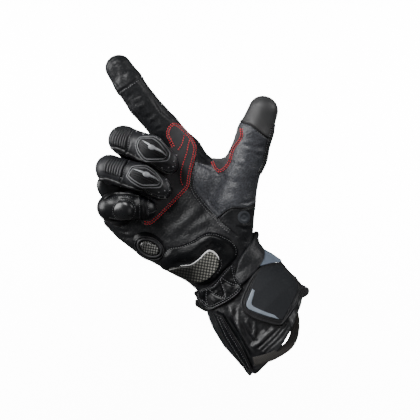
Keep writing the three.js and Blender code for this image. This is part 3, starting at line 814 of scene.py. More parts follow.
# The outline of the thumb's grained panel, and the seams that part finger, thumb and palm, from left to right
THENAR = [(-18, 80), (-20, 72), (-20, 62), (-18, 56), (-12, 48), (-6, 41), (0, 35), (8, 41), (12, 43.5),
          (20, 43), (31, 47), (40, 60), (46, 95), (40, 98), (33, 103), (26, 108.5), (16, 112), (8, 95),
          (0, 78), (-8, 77)]
INDEX_SEAM = [(-110, 119), (-81, 134.5), (-62, 148.5), (-40, 166)]
THUMB_SEAM = [(0, 118.5), (16, 112.5), (26, 108.7), (33, 103.2), (41, 97.5), (60, 85)]
BASE_SEAM = [(-40, 0), (0, 35), (5, 39.5), (11, 43), (20, 43), (26, 44), (31, 47.5), (60, 55)]


def above(points, line):
    """Whether points lie above a line of the palm's plane that runs left to right."""
    line = np.asarray(line, float)
    return points[:, 2] > np.interp(points[:, 0], line[:, 0], line[:, 1])


def hand_skin():
    """The leather round palm, thumb and first finger: bones joined smoothly, raised and sunk by relief."""
    f = Field((-104, -42, -26), (54, 32, 172), 0.85)
    body = f.palm()
    body = smooth_min(body, f.limb("metacarpal"), 8)
    body = smooth_min(body, f.limb("web"), 7)
    body = smooth_min(body, f.limb("thumb", 2.5), 7)
    body = smooth_min(body, f.limb("index", 2.0), 5)
    split = 2 - 13 * smooth((f.x + 4) / 16)
    front = smooth((split + 3 - f.y) / 6)
    body = body - front * relief(f.x, f.z, HAND_RELIEF) - (1 - front) * relief(f.x, f.z, BACK_RELIEF)
    body = body - 0.07 * waves(f.x, f.y, f.z, 3, 22) - 0.015 * waves(f.x, f.y, f.z, 4, 6)
    down = f.x * FOREARM[0] + f.z * FOREARM[2]
    return f.surface(np.maximum(body, down - 23))


# Seams, folds, valleys and ridges of the curled fingers
FINGER_RELIEF = {
    "middle": [
        ("valley", 1.3, -1.5, [(-88, 89), (-78, 87.6), (-70, 84), (-62, 79.8), (-54, 75.8), (-46, 71)]),
        ("seam", 0.7, 0.4, [(-66, 108), (-68, 100), (-70, 92), (-72, 86)]),
        ("fold", 1.4, 0.4, [(-39, 92), (-35, 86), (-33, 80)]),
        ("fold", 1.6, 0.35, [(-42, 79), (-38, 76), (-35, 73)]),
    ],
    "ring": [
        ("valley", 1.3, -1.5, [(-96, 64), (-86, 63.4), (-78, 60), (-70, 57), (-60, 53), (-52, 49.5)]),
        ("seam", 0.7, 0.4, [(-70, 82), (-73, 76), (-75, 70), (-77, 64)]),
        ("fold", 1.4, 0.4, [(-44, 68), (-40, 64), (-38, 58)]),
    ],
    "little": [
        ("seam", 0.7, 0.5, [(-61, 54), (-60, 48), (-59.5, 42), (-60, 34)]),
        ("seam", 0.7, 0.5, [(-57.5, 53), (-57, 48), (-56.5, 42), (-57, 35)]),
        ("fold", 1.8, 0.8, [(-80, 51.5), (-72, 50), (-64, 46)]),
        ("fold", 1.5, 0.5, [(-69, 49), (-66, 44), (-66, 38)]),
        ("valley", 1.2, -0.8, [(-90, 34), (-80, 33.5), (-70, 34.5), (-60, 34)]),
        ("ridge", 1.2, 0.5, [(-86, 36), (-76, 35.5), (-66, 36)]),
    ],
}


def finger_skin(name, low, high):
    """A curled finger's leather, with the relief on the side that shows."""
    f = Field(low, high, 0.6)
    body = f.limb(name, 2.4)
    front = smooth((-20 - f.y) / 6)
    body = body - front * relief(f.x, f.z, FINGER_RELIEF[name])
    body = body - 0.09 * waves(f.x, f.y, f.z, len(name), 11) - 0.02 * waves(f.x, f.y, f.z, 9, 4)
    return f.surface(body)


# Finger sliders: outlines of both rims, centre, crest, and the oval's place, half sizes and tilt
SLIDERS = {
    "middle": {
        "rims": [[(-64.6, 92.2), (-62, 98), (-50.8, 98.6), (-45.2, 94.8),
                  (-38.6, 86), (-40.4, 80.6), (-57, 80.4), (-62, 85.8)],
                 [(-62.8, 91.8), (-60.9, 96.6), (-51.6, 96.8), (-47, 93.4),
                  (-41.6, 86), (-43.4, 82.4), (-56.2, 82.2), (-60.4, 87)]],
        "centre": (-52, 89.6),
        "crest": [(-58.4, 95), (-54.6, 92.6), (-51.6, 90.4), (-46.4, 87.8), (-42.6, 84.6)],
        "blob": (-52.2, 90.4, 2.5, 1.8, -25),
    },
    "ring": {
        "rims": [[(-71.2, 68.4), (-67.2, 75.2), (-56.6, 75.6), (-50, 70.8),
                  (-44.6, 63.8), (-46.2, 59.4), (-60.8, 60), (-68, 64.4)],
                 [(-69.4, 68.6), (-66.2, 73.4), (-57.2, 73.7), (-51.2, 69.4),
                  (-46.6, 64.2), (-48.6, 61.4), (-60, 61.8), (-66.4, 65.6)]],
        "centre": (-58, 67.8),
        "crest": [(-65.4, 72.4), (-61, 71), (-56.8, 69), (-52, 66.8), (-48, 64)],
        "blob": (-57.2, 69.1, 2.6, 1.8, -25),
    },
}
# Ribbed panels: the edge at the knuckle, the edge at the slider and the number of ribs
ACCORDIONS = {
    "middle": ([(-85, 93.4), (-84.6, 99), (-80.5, 104.8)], [(-72.5, 89.5), (-71, 98), (-67.5, 106)], 7),
    "ring": ([(-89.8, 71.4), (-89, 77.5), (-85.5, 81.6)], [(-76, 67), (-74.5, 74), (-71, 80.4)], 7),
}
# Welts and piping along the fingers' seams: radius from start to end, and the path
WELTS = {
    "middle": [((2.0, 2.3, 1.6, 0.9), [(-84, 91.4), (-77.4, 89.6), (-70, 86.2), (-62, 82.2), (-55, 79)]),
               ((0.7, 0.5), [(-55, 79.2), (-46, 73.4), (-40, 70.4), (-35, 70.8), (-31.6, 75), (-31.8, 81)])],
    "ring": [((2.0, 2.4, 1.6, 0.9), [(-93.4, 66.6), (-88, 66.2), (-83, 64.8), (-76, 62.2), (-68, 59.6),
                                     (-60, 57)]),
             ((0.7, 0.5), [(-60, 57.4), (-50, 52.2), (-45, 50.6), (-40, 51.4), (-36.8, 55.4), (-36.9, 60),
                           (-39.6, 64.6)])],
    "little": [((0.9, 1.2, 0.9), [(-90, 49.6), (-84, 53.5), (-78, 54.6), (-70, 54), (-62, 51.8)]),
               ((0.6, 0.6), [(-49.5, 46.5), (-48.6, 43.5), (-51, 40), (-56, 38.4)]),
               ((0.8, 0.6), [(-86, 33.6), (-76, 33), (-66, 33.8), (-59, 34)])],
}
# Rows of stitches on the fingers
FINGER_STITCHES = {
    "middle": [[(-66.2, 106.6), (-69.6, 99), (-71, 90)], [(-82, 88), (-74, 85.2), (-66, 81.4), (-58, 77.6)],
               [(-55.5, 80.6), (-47, 75.4), (-40.6, 72.6), (-36, 73), (-34, 76.4), (-34.2, 81)]],
    "ring": [[(-69.8, 81), (-73, 74.4), (-74.6, 67.6)], [(-90, 64.4), (-82, 62), (-74, 58.6), (-64, 55)],
             [(-60, 59.2), (-51, 54.4), (-45.4, 52.8), (-41, 53.6), (-39, 57), (-39.4, 60.4), (-41.4, 63.6)]],
    "little": [[(-63, 53), (-62, 47), (-61.5, 41), (-62, 35)],
               [(-55.4, 51), (-55, 47), (-54.6, 42), (-55, 37)],
               [(-86, 35.6), (-77, 34.8), (-68, 35.4)], [(-88, 47.4), (-82, 51.4), (-75, 52.6), (-67, 51.4)]],
}
# Pale pinprick holes in each finger's leather
HOLES = {
    "middle": [(-44.3, 75), (-39, 75.2), (-35.5, 75.8), (-35, 80), (-32.7, 85), (-64.5, 103.5), (-59, 101.2),
               (-72.5, 93), (-65.3, 84.5), (-48.5, 98.8), (-45.5, 97.2)],
    "ring": [(-46.7, 55.5), (-42, 56.8), (-38.2, 57), (-41, 66), (-52.5, 54), (-46.8, 51.6), (-42, 51.8),
             (-76.4, 67), (-45, 62), (-66.8, 58.8)],
    "little": [],
}
# Boxes round the curled fingers: low and high corner
FINGER_BOXES = {
    "middle": ((-92, -50, 58), (-24, 24, 114)),
    "ring": ((-100, -50, 42), (-30, 24, 90)),
    "little": ((-100, -48, 24), (-42, 22, 60)),
}
# The outline of the gusset under the ring finger's knuckle, and the centre of the little finger's dome
GUSSET = [(-93, 68), (-96.4, 62.4), (-95, 55.6), (-90.4, 50.4), (-82, 50.6), (-76, 54), (-76, 62), (-84, 67)]
DOME_AT = (-74, 41.5)


def oval(x, z, wide, high, tilt, count=24):
    """Points of a tilted oval."""
    t = np.linspace(0, 2 * math.pi, count, endpoint=False)
    c, s = math.cos(math.radians(tilt)), math.sin(math.radians(tilt))
    u, v = wide * np.cos(t), high * np.sin(t)
    return np.stack([x + u * c - v * s, z + u * s + v * c], 1)


def laid_tube(drape, points, radius, lift, closed=False, around=8, flat=1.0, step=0.7):
    """Piping laid along a path on the surface. A radius of several values runs from start to end."""
    rough = np.asarray(points, float)
    count = max(int(np.linalg.norm(np.diff(rough, axis=0), axis=1).sum() / step), 8)
    path, up = drape.place(curve(rough, count, closed), lift)
    radius = np.atleast_1d(np.asarray(radius, float))
    radius = np.interp(np.linspace(0, 1, len(path)), np.linspace(0, 1, len(radius)), radius)
    if not closed:
        along = np.concatenate([[0], np.cumsum(np.linalg.norm(np.diff(path, axis=0), axis=1))])
        near = np.minimum(along, along[-1] - along) / radius
        radius = radius * np.maximum(np.sqrt(1 - (1 - np.clip(near, 0, 1)) ** 2), 0.04)
    return tube(path, radius, up, around, flat, closed)


def laid_stitches(drape, points, lift=0.1, pitch=2.3, length=1.7, radius=0.36, offsets=(0.0,)):
    """Rows of stitches beside a path on the surface, each at its own offset."""
    line = curve(points, max(int(len(points) * 12), 20))
    side = unit(np.gradient(line, axis=0))[:, ::-1] * np.array([1, -1])
    meshes = []
    for offset in offsets:
        path, up = drape.place(line + side * offset, lift)
        meshes.append(stitches(path, up, pitch, length, radius))
    return join_meshes(meshes)


def laid_patch(drape, grid, thick, bevel, wrap=False, extra=0.0, tuck=0.5):
    """A sheet of the given thickness on the surface, with rounded edges."""
    height = padded_height(grid, thick, bevel, wrap, tuck)
    points, _ = drape.place(grid, height + extra)
    return sheet_mesh(points, wrap, (0, drape.sign, 0))


MATERIALS = {}
# Kinds of leather: share of the leather's colour, roughness, width of a pebble and depth of the grain in mm,
# wear, coat, share of the pebbles in the colour (their paler tops: grain and painted highlight), creases and
# specular level
LEATHERS = {
    "leather": (0.65, 0.41, 1.15, 0.18, 0.15, 0.06, 0.7, 0.05, 0.33),
    "glossy": (0.5, 0.34, 1.4, 0.05, 0.1, 0.1, 0.3, 0.04, 0.3),
    "satin": (1.1, 0.46, 1.4, 0.06, 0.2, 0.05, 0.3, 0.05, 0.45),
    "dome": (0.6, 0.3, 1.5, 0.04, 0.1, 0.3, 0.1, 0.05, 0.45),
    # Far paler than the other leathers: painted sheen on the thumb panel, besides its real grain
    "grained": (2.8, 0.38, 1.15, 0.22, 0.08, 0.08, 1.0, 0.03, 0.5),
    "padded": (0.35, 0.3, 1.4, 0.08, 0.1, 0.0, 0.4, 0.05, 0.16),
    "creased": (0.6, 0.4, 1.6, 0.16, 0.15, 0.04, 0.5, 0.05, 0.45),
}
# Colours of the weave's sunk threads, and how far it is turned in radians
SUNK, WEAVE_TURN = [0.0015, 0.0015, 0.0015], 0.62


def make_materials(colours):
    """Every material of the glove, by its short name."""
    for name, (share, *kind) in LEATHERS.items():
        title = "glove_leather" if name == "leather" else f"{name}_leather"
        MATERIALS[name] = leather(title, times(colours.leather, share), *kind)
    MATERIALS.update(
        suede=suede("patch_suede", [0.011, 0.0105, 0.012]),
        # Grey, far paler than the leather: painted sheen on the thumb cap
        cap=plain("thumb_cap_painted_sheen", [0.03, 0.03, 0.031], 0.5, 1400, 0.04, scuffs=0.3),
        binding=plain("binding", [0.004, 0.004, 0.005], 0.5, 1100, 0.06, specular=0.35),
        printed=plain("printed_disc", [0.03, 0.034, 0.041], 0.45, 1100, 0.03),
        rubber=plain("moulded_rubber", [0.013, 0.013, 0.015], 0.45, 900, 0.06),
        # Pale grey: painted highlight on the finger sliders' rubber rims, standing for their lit edges
        rim=plain("slider_rubber_painted_highlight", [0.13, 0.133, 0.14], 0.45, 900, 0.05),
        core=plain("slider_core", [0.006, 0.0065, 0.0075], 0.55, 800, 0.06, specular=0.3),
        # Near-white: painted highlights along the hard plate's edges and a painted glint by the oval insert
        edge=plain("painted_highlight_white", [0.75, 0.75, 0.74], 0.25, 900, 0.02, metallic=0.2, coat=0.6),
        silver=plain("slider_silver", list(colours.silver), 0.36, 700, 0.03, metallic=0.35),
        # The pale checks of both carbon weaves are painted reflection, faded out towards -X
        carbon=woven("carbon_weave", SUNK, [0.28, 0.28, 0.25], 1.6, WEAVE_TURN, 0.12, 0.36, coat=0.25,
                     coat_rough=0.1, spots=(0.02, 0.25), fade=(-22, -3), specular=0.2),
        oval_weave=woven("oval_weave", SUNK, [0.2, 0.2, 0.19], 1.4, WEAVE_TURN, 0.12, 0.26, coat=0.7,
                         coat_rough=0.08, spots=(0.02, 0.2), fade=(-62, -50), specular=0.3),
        flap=woven("flap_cloth", list(colours.flap), times(colours.flap, 1.5), 0.45, 0.6, 0.06, 0.66,
                   specular=0.3),
        grey=plain("corner_grey", list(colours.stripe), 0.5, 900, 0.03),
        blue=plain("blue_grey", [0.1, 0.125, 0.165], 0.6, 900, 0.04),
        webbing=woven("webbing", [0.02, 0.018, 0.016], [0.06, 0.055, 0.05], 0.7, 0.2, 0.25, 0.85),
        red=thread("red_thread", list(colours.red)),
        # Mid grey, far paler than black: painted highlight along the rows of black stitches
        black_thread=thread("black_thread", [0.11, 0.113, 0.12]),
        hole=plain("pinhole", [0.32, 0.32, 0.33], 0.7, 900, 0.02),
    )


class GloveSizes(bpy.types.PropertyGroup):
    """Sizes of the glove's trim"""

    stitch_pitch: FloatProperty(
        name="Stitch Pitch", description="Distance from one red stitch to the next",
        default=0.00195, min=0.001, max=0.006, precision=5, unit="LENGTH")
    thread_radius: FloatProperty(
        name="Thread Radius", description="Half the thickness of the thread",
        default=0.00044, min=0.0001, max=0.001, precision=5, unit="LENGTH")
    patch_thickness: FloatProperty(
        name="Patch Thickness", description="How far the suede patches stand proud",
        default=0.001, min=0.0002, max=0.003, precision=5, unit="LENGTH")
    strap_thickness: FloatProperty(
        name="Strap Thickness", description="Thickness of the wrist strap",
        default=0.0019, min=0.0005, max=0.004, precision=5, unit="LENGTH")
    flap_thickness: FloatProperty(
        name="Flap Thickness", description="Thickness of the closing flap",
        default=0.003, min=0.001, max=0.005, precision=5, unit="LENGTH")
    rib_height: FloatProperty(
        name="Rib Height", description="Height of the stretch panels' ribs",
        default=0.0008, min=0.0002, max=0.003, precision=5, unit="LENGTH")


class GloveColours(bpy.types.PropertyGroup):
    """Colours of the glove's materials"""

    leather: FloatVectorProperty(
        name="Leather", description="Black leather", subtype="COLOR", size=3, min=0, max=1,
        default=(0.0075, 0.008, 0.0095))
    red: FloatVectorProperty(
        name="Red Thread", description="Red stitching", subtype="COLOR", size=3, min=0, max=1,
        default=(0.8, 0.02, 0.035))
    silver: FloatVectorProperty(
        name="Slider Silver", description="Ovals on the finger sliders", subtype="COLOR", size=3, min=0,
        max=1, default=(0.3, 0.31, 0.325))
    flap: FloatVectorProperty(
        name="Flap", description="Slate cloth of the closing flap", subtype="COLOR", size=3, min=0, max=1,
        default=(0.0075, 0.0085, 0.0108))
    stripe: FloatVectorProperty(
        name="Stripe", description="Light corner stripe", subtype="COLOR", size=3, min=0, max=1,
        default=(0.17, 0.2, 0.24))


class PieceOperator:
    """What the operators share: they can be undone, and they read the glove's sizes."""

    bl_options = {"REGISTER", "UNDO"}

    def size(self, name):
        """One of the glove's sizes, in millimetres."""
        return getattr(bpy.context.scene.glove_sizes, name) / MM


class GLOVE_OT_hand(PieceOperator, bpy.types.Operator):
    """Build the leather of palm, back, thumb and first finger"""

    bl_idname = "glove.hand"
    bl_label = "Hand and Thumb"
    panels = {
        "palm_panel": "leather", "back_panel": "leather", "index_finger": "leather", "index_tip": "leather",
        "thumb_tip": "cap", "thumb_panel": "grained", "thumb_base_panel": "leather",
    }

    def label(self, p):
        """The panel that each point of the skin belongs to."""
        x, y, z = p.T
        index = (x < -24) & (0.83 * z - 0.56 * x > 86 + (x + 30) * 0.35)
        thumb = (x > 2 - (z - 40) * 0.12) & (z > 24) & ~index
        tip = thumb & above(p, THUMB_SEAM)
        panel = ~index & ~tip & (y < 1) & inside(x, z, THENAR)
        base = ~panel & ~tip & ~index & (x > 0) & (z > 20) & ~above(p, BASE_SEAM) & (y < 1)
        rules = {
            "index_tip": index & above(p, INDEX_SEAM), "index_finger": index, "thumb_tip": tip,
            "thumb_panel": panel, "thumb_base_panel": base, "palm_panel": y < 3,
        }
        return np.select(list(rules.values()), list(rules), "back_panel")

    def execute(self, context):
        make_materials(context.scene.glove_colours)
        skin = hand_skin()
        MADE["skin"] = skin
        label = self.label(skin[0][skin[1]].mean(1))
        for name, material in self.panels.items():
            piece(name, part_of(skin, label == name), material, [name])
        MADE["front"] = Drape([skin], *HAND_WINDOW)
        return {"FINISHED"}


class GLOVE_OT_fingers(PieceOperator, bpy.types.Operator):
    """Build the three curled fingers with their ribbed panels, sliders and piping"""

    bl_idname = "glove.fingers"
    bl_label = "Curled Fingers"

    def execute(self, context):
        for name, (low, high) in FINGER_BOXES.items():
            skin = finger_skin(name, low, high)
            leather = "glossy" if name == "little" else "satin"
            piece(f"{name}_finger", skin, leather, [f"{name}_finger"])
            drape = Drape([skin], (low[0] - 4, low[2] - 4), (high[0] + 4, high[2] + 4), 0.4)
            MADE[f"{name}_drape"] = drape
            if name in SLIDERS:
                self.slider(name, drape)
                self.accordion(name, drape)
            holes = [laid_patch(drape, fan(at, oval(*at, 0.55, 0.55, 0, 8), 4, 8), 0.12, 0.3, True, tuck=0.2)
                     for at in HOLES[name]]
            if holes:
                piece(f"{name}_pinholes", join_meshes(holes), "hole")
        for name, lines in WELTS.items():
            self.piping(name, MADE[f"{name}_drape"], lines)
        self.dome(MADE["little_drape"])
        return {"FINISHED"}

    def piping(self, name, drape, lines):
        """A finger's welts and its rows of stitches, and the small gusset under the ring finger's knuckle."""
        welts = [laid_tube(drape, line, radius, radius[0] * 0.3, around=10) for radius, line in lines]
        mesh = join_meshes(welts)
        if name == "ring":
            flat = fan((-87, 59), GUSSET, 16, 64)
            mesh = join_meshes([mesh, slab(flat, np.full(flat.shape[:2], -13.0), 9.0, 5.0, wrap=True)])
        piece(f"{name}_piping", mesh, "glossy")
        rows = [laid_stitches(drape, line, 0.05, 1.7, 1.1, 0.26) for line in FINGER_STITCHES[name]]
        piece(f"{name}_stitches", join_meshes(rows), "black_thread")

    def dome(self, drape):
        """The round pad on the little finger: a crown of height 1 - r^2, with a ring of stitches."""
        x, z = DOME_AT
        pad = fan((x, z), oval(x, z, 8.2, 7.6, 10), 16, 60)
        mesh = laid_patch(drape, pad, 0.9, 1.6, True, 0.9 * (1 - even_share(16)**2))
        piece("little_dome", mesh, "dome", ["little_dome"])
        line = oval(x, z, 9, 8.4, 10)
        ring = laid_stitches(drape, np.vstack([line, line[:1]]), 0.05, 1.9, 1.2, 0.25)
        piece("dome_stitches", ring, "black_thread")

    def slider(self, name, drape):
        """Two rubber rims, painted pale grey as a highlight on their edges, round a stepped core with a
        crest, and a silver oval and bright line on it.
        """
        data = SLIDERS[name]
        outer, inner = (cornered(line) for line in data["rims"])
        base = laid_patch(drape, fan(data["centre"], outer, 14, 96), 1.2, 1.0, True)
        # The rims' pale grey material is a painted highlight along their edges
        rims = [laid_tube(drape, line, r, lift, True, 10, step=0.4)
                for line, r, lift in ((outer, 0.5, 1.1), (inner, 0.5, 1.6))]
        piece(f"{name}_slider_rim", join_meshes(rims), "rim", [f"{name}_slider_rim"])
        grid = fan(data["centre"], inner, 26, 96)
        signed, _ = nearest(grid[..., 0], grid[..., 1], curve(data["crest"], 20))
        crest = np.maximum(0, 1 - np.abs(signed) / 5.5)
        steps = 0.22 * np.sin(np.abs(signed) * 4.2) * smooth(np.abs(signed) - 0.6)
        core = laid_patch(drape, grid, 1.0, 0.8, True, 1.9 * crest + steps)
        piece(f"{name}_slider_core", join_meshes([base, core]), "core")
        x, z, wide, high, tilt = data["blob"]
        blob = fan((x, z), oval(x, z, wide, high, tilt), 12, 40)
        mesh = laid_patch(drape, blob, 0.9, 0.9, True, 2.2 + 0.7 * (1 - even_share(12)**2), 0.0)
        path, up = drape.place(curve(data["crest"], 30), 2.8)
        line = tube(path, 0.2 + 1.0 * np.sin(np.linspace(0.05, 3.1, 30)) ** 1.4, up, 10, 0.7)
        piece(f"{name}_slider", join_meshes([mesh, line]), "silver", [f"{name}_slider"])

    def accordion(self, name, drape):
        """A stretch panel: ribs of height |sin|^0.6 between two edges, which run out at the panel's ends."""
        left, right, ribs = ACCORDIONS[name]
        rows, cols = 40, 110
        grid = coons([left[0], right[0]], [left[-1], right[-1]], left, right, rows, cols)
        wave = np.abs(np.sin(math.pi * ribs * np.linspace(0, 1, cols)[None])) ** 0.6
        height = padded_height(grid, 1.0, 1.2, tuck=0.8)
        ends = smooth(np.minimum(np.linspace(0, 1, rows), np.linspace(1, 0, rows)) / 0.12)[:, None]
        points, _ = drape.place(grid, height + self.size("rib_height") * wave * ends)
        piece(f"{name}_accordion", sheet_mesh(points), "satin", [f"{name}_accordion"])


# The sides of the suede patch under the curled fingers
PALM_PATCH = dict(
    left=[(-60, 30.5), (-66, 42), (-62, 60), (-50, 76), (-36, 90.5), (-40.5, 100)],
    right=[(-53, 30), (-47.5, 36), (-41, 42.5), (-34.5, 49), (-29, 54.5), (-23.5, 61), (-22.5, 68),
           (-20.5, 76), (-18, 86), (-17.5, 92)],
    bottom=[(-60, 30.5), (-57, 29.5), (-53, 30)],
    top=[(-40.5, 100), (-39.5, 106.5), (-35, 110), (-29, 107.5), (-22, 99.5), (-17.5, 92)],
)
# The palm patch's red rows of stitches: the offsets of the rows and the path between them
RED_LINES = [
    ((0.85, -0.85), [(-35.5, 91.5), (-38, 97), (-40, 102), (-38.6, 107), (-35, 109.8), (-30, 107.6),
                     (-25, 102.6), (-20.5, 97), (-18.4, 91.5), (-18.8, 87), (-20.4, 80), (-22, 74),
                     (-23.4, 67), (-24, 61.5), (-27, 57.4), (-31, 53.2), (-36, 48), (-42.5, 41.5),
                     (-48.5, 35.6), (-54, 31.4), (-59, 31.6)]),
    ((0.0,), [(-27.2, 101.6), (-27.4, 99), (-29, 93.6), (-32, 89)]),
    ((0.0,), [(-22.6, 97.6), (-24, 92), (-25.2, 86), (-28, 78), (-29.5, 72), (-29.6, 65), (-28, 61)]),
]
# The two long sides of the patch between thumb and first finger
CROTCH = dict(
    inner=[(18.6, 106), (19.2, 100), (16.6, 95), (12.8, 90.5), (11, 85), (9.6, 79.6), (6.6, 74.6), (3, 71.6),
           (0, 71.2), (-3, 75), (-4.6, 80)],
    outer=[(16.9, 108.5), (14.6, 103), (12.4, 97.5), (10.2, 92.5), (8.2, 88), (6.4, 85), (4.4, 83.4),
           (2, 83), (0, 83), (-2, 83), (-4.5, 83)],
)
# The outline of the padded mound on the heel of the palm, and the sides of the hard plate on it
HEEL_PAD = [(-46, -4), (-44.5, 5), (-38.5, 12), (-30, 13.6), (-20, 17.8), (-12, 22.6), (-6, 24.2), (0, 23.2),
            (8, 19.8), (13, 15.8), (15.8, 10.6), (15.4, 5), (11.5, 0), (6, -5.4), (1, -10.5), (-4, -15.5),
            (-12, -18.6), (-20, -17), (-30, -12.6), (-39, -8)]
HEEL_PLATE = dict(
    bottom=[(-39, -6.6), (-30, -11), (-22, -14.8), (-15, -15.8), (-8, -13.2), (-2.4, -7.6)],
    top=[(-39, -4.6), (-30, -2.9), (-22, -2.2), (-17, 0.4), (-12, 5), (-8, 8.4), (-4.4, 8), (-0.4, 4.2)],
    left=[(-39, -6.6), (-39.3, -5.6), (-39, -4.6)],
    right=[(-2.4, -7.6), (0.6, -2), (-0.4, 4.2)],
)
# A near-white line under the hard plate: a painted highlight on its lower edge
PLATE_UNDER_HIGHLIGHT = [(-39.4, -6.2), (-35, -9.2), (-29.6, -11.8), (-24, -14.4)]
# The folds of the mound on the heel of the palm
HEEL_FOLDS = [
    ("ridge", 4.5, 1.5, [(-43, 1), (-34, 5), (-22, 7.5), (-12, 15), (-3, 19), (6, 15), (11, 8)]),
    ("valley", 1.6, -0.8, [(-7, 15.6), (-2, 13.6), (3, 10.6)]),
    ("valley", 2.0, -1.0, [(-40, -1.5), (-30, 0.2), (-21, 1), (-15, 3.6), (-9, 10.6), (-3, 10.6), (3, 4)]),
]
# The sides of the strip on the thumb's outer edge
THUMB_STRIP = dict(
    bottom=[(31, 72), (34.6, 70)],
    top=[(41.6, 108.5), (45.2, 110.4)],
    left=[(31, 72), (35.4, 80), (36.8, 87), (38.4, 95), (40.6, 102), (41.6, 108.5)],
    right=[(34.6, 70), (38.8, 79), (40.6, 87), (42, 95), (44.6, 103), (45.2, 110.4)],
)
# Rows of black stitches: what they are sewn to, the offsets of the rows and the path between them
BLACK_LINES = [
    ("skin", (1.1, -1.1), [(-18.6, 79), (-20.8, 72), (-20.8, 62), (-18.8, 55.4), (-12.8, 47.4), (-6.8, 40.4),
                           (-0.8, 34.4), (2.4, 30.4), (9.4, 24.4)]),
    ("skin", (0.0,), [(1, 36.6), (6, 40.8), (11, 44.2)]),
    ("skin", (0.0,), [(18.2, 110.6), (26, 107.6), (33, 102.2), (40, 97)]),
    ("skin", (0.0,), [(-76.5, 135.8), (-69.8, 139.8), (-63, 145)]),
    ("pads", (0.0,), [(-43.6, 4.4), (-38, 10.6), (-30, 12), (-20, 16.2), (-12, 20.8), (-6, 22.4), (0, 21.4),
                      (7.4, 18.2), (12, 14.6), (14.2, 10), (14, 5.4)]),
    ("pads", (0.0,), [(1.8, 2.6), (2.8, -2), (-0.6, -9)]),
    ("edge", (0.7, -0.7), [(32.4, 71.4), (36.6, 80), (38.4, 88), (40, 95), (42.2, 102), (43, 108)]),
]
# Piping on the thumb's seams: radius, lift, sides and path
THUMB_PIPING = [
    (0.9, 0.3, 10, [(17.4, 112.4), (26, 109.2), (33, 103.8), (40.4, 98.6)]),
    (0.6, 0.2, 8, [(-0.8, 35), (5, 39.8), (11, 43.2), (20, 43.2), (26, 44.2), (30, 46.8)]),
]


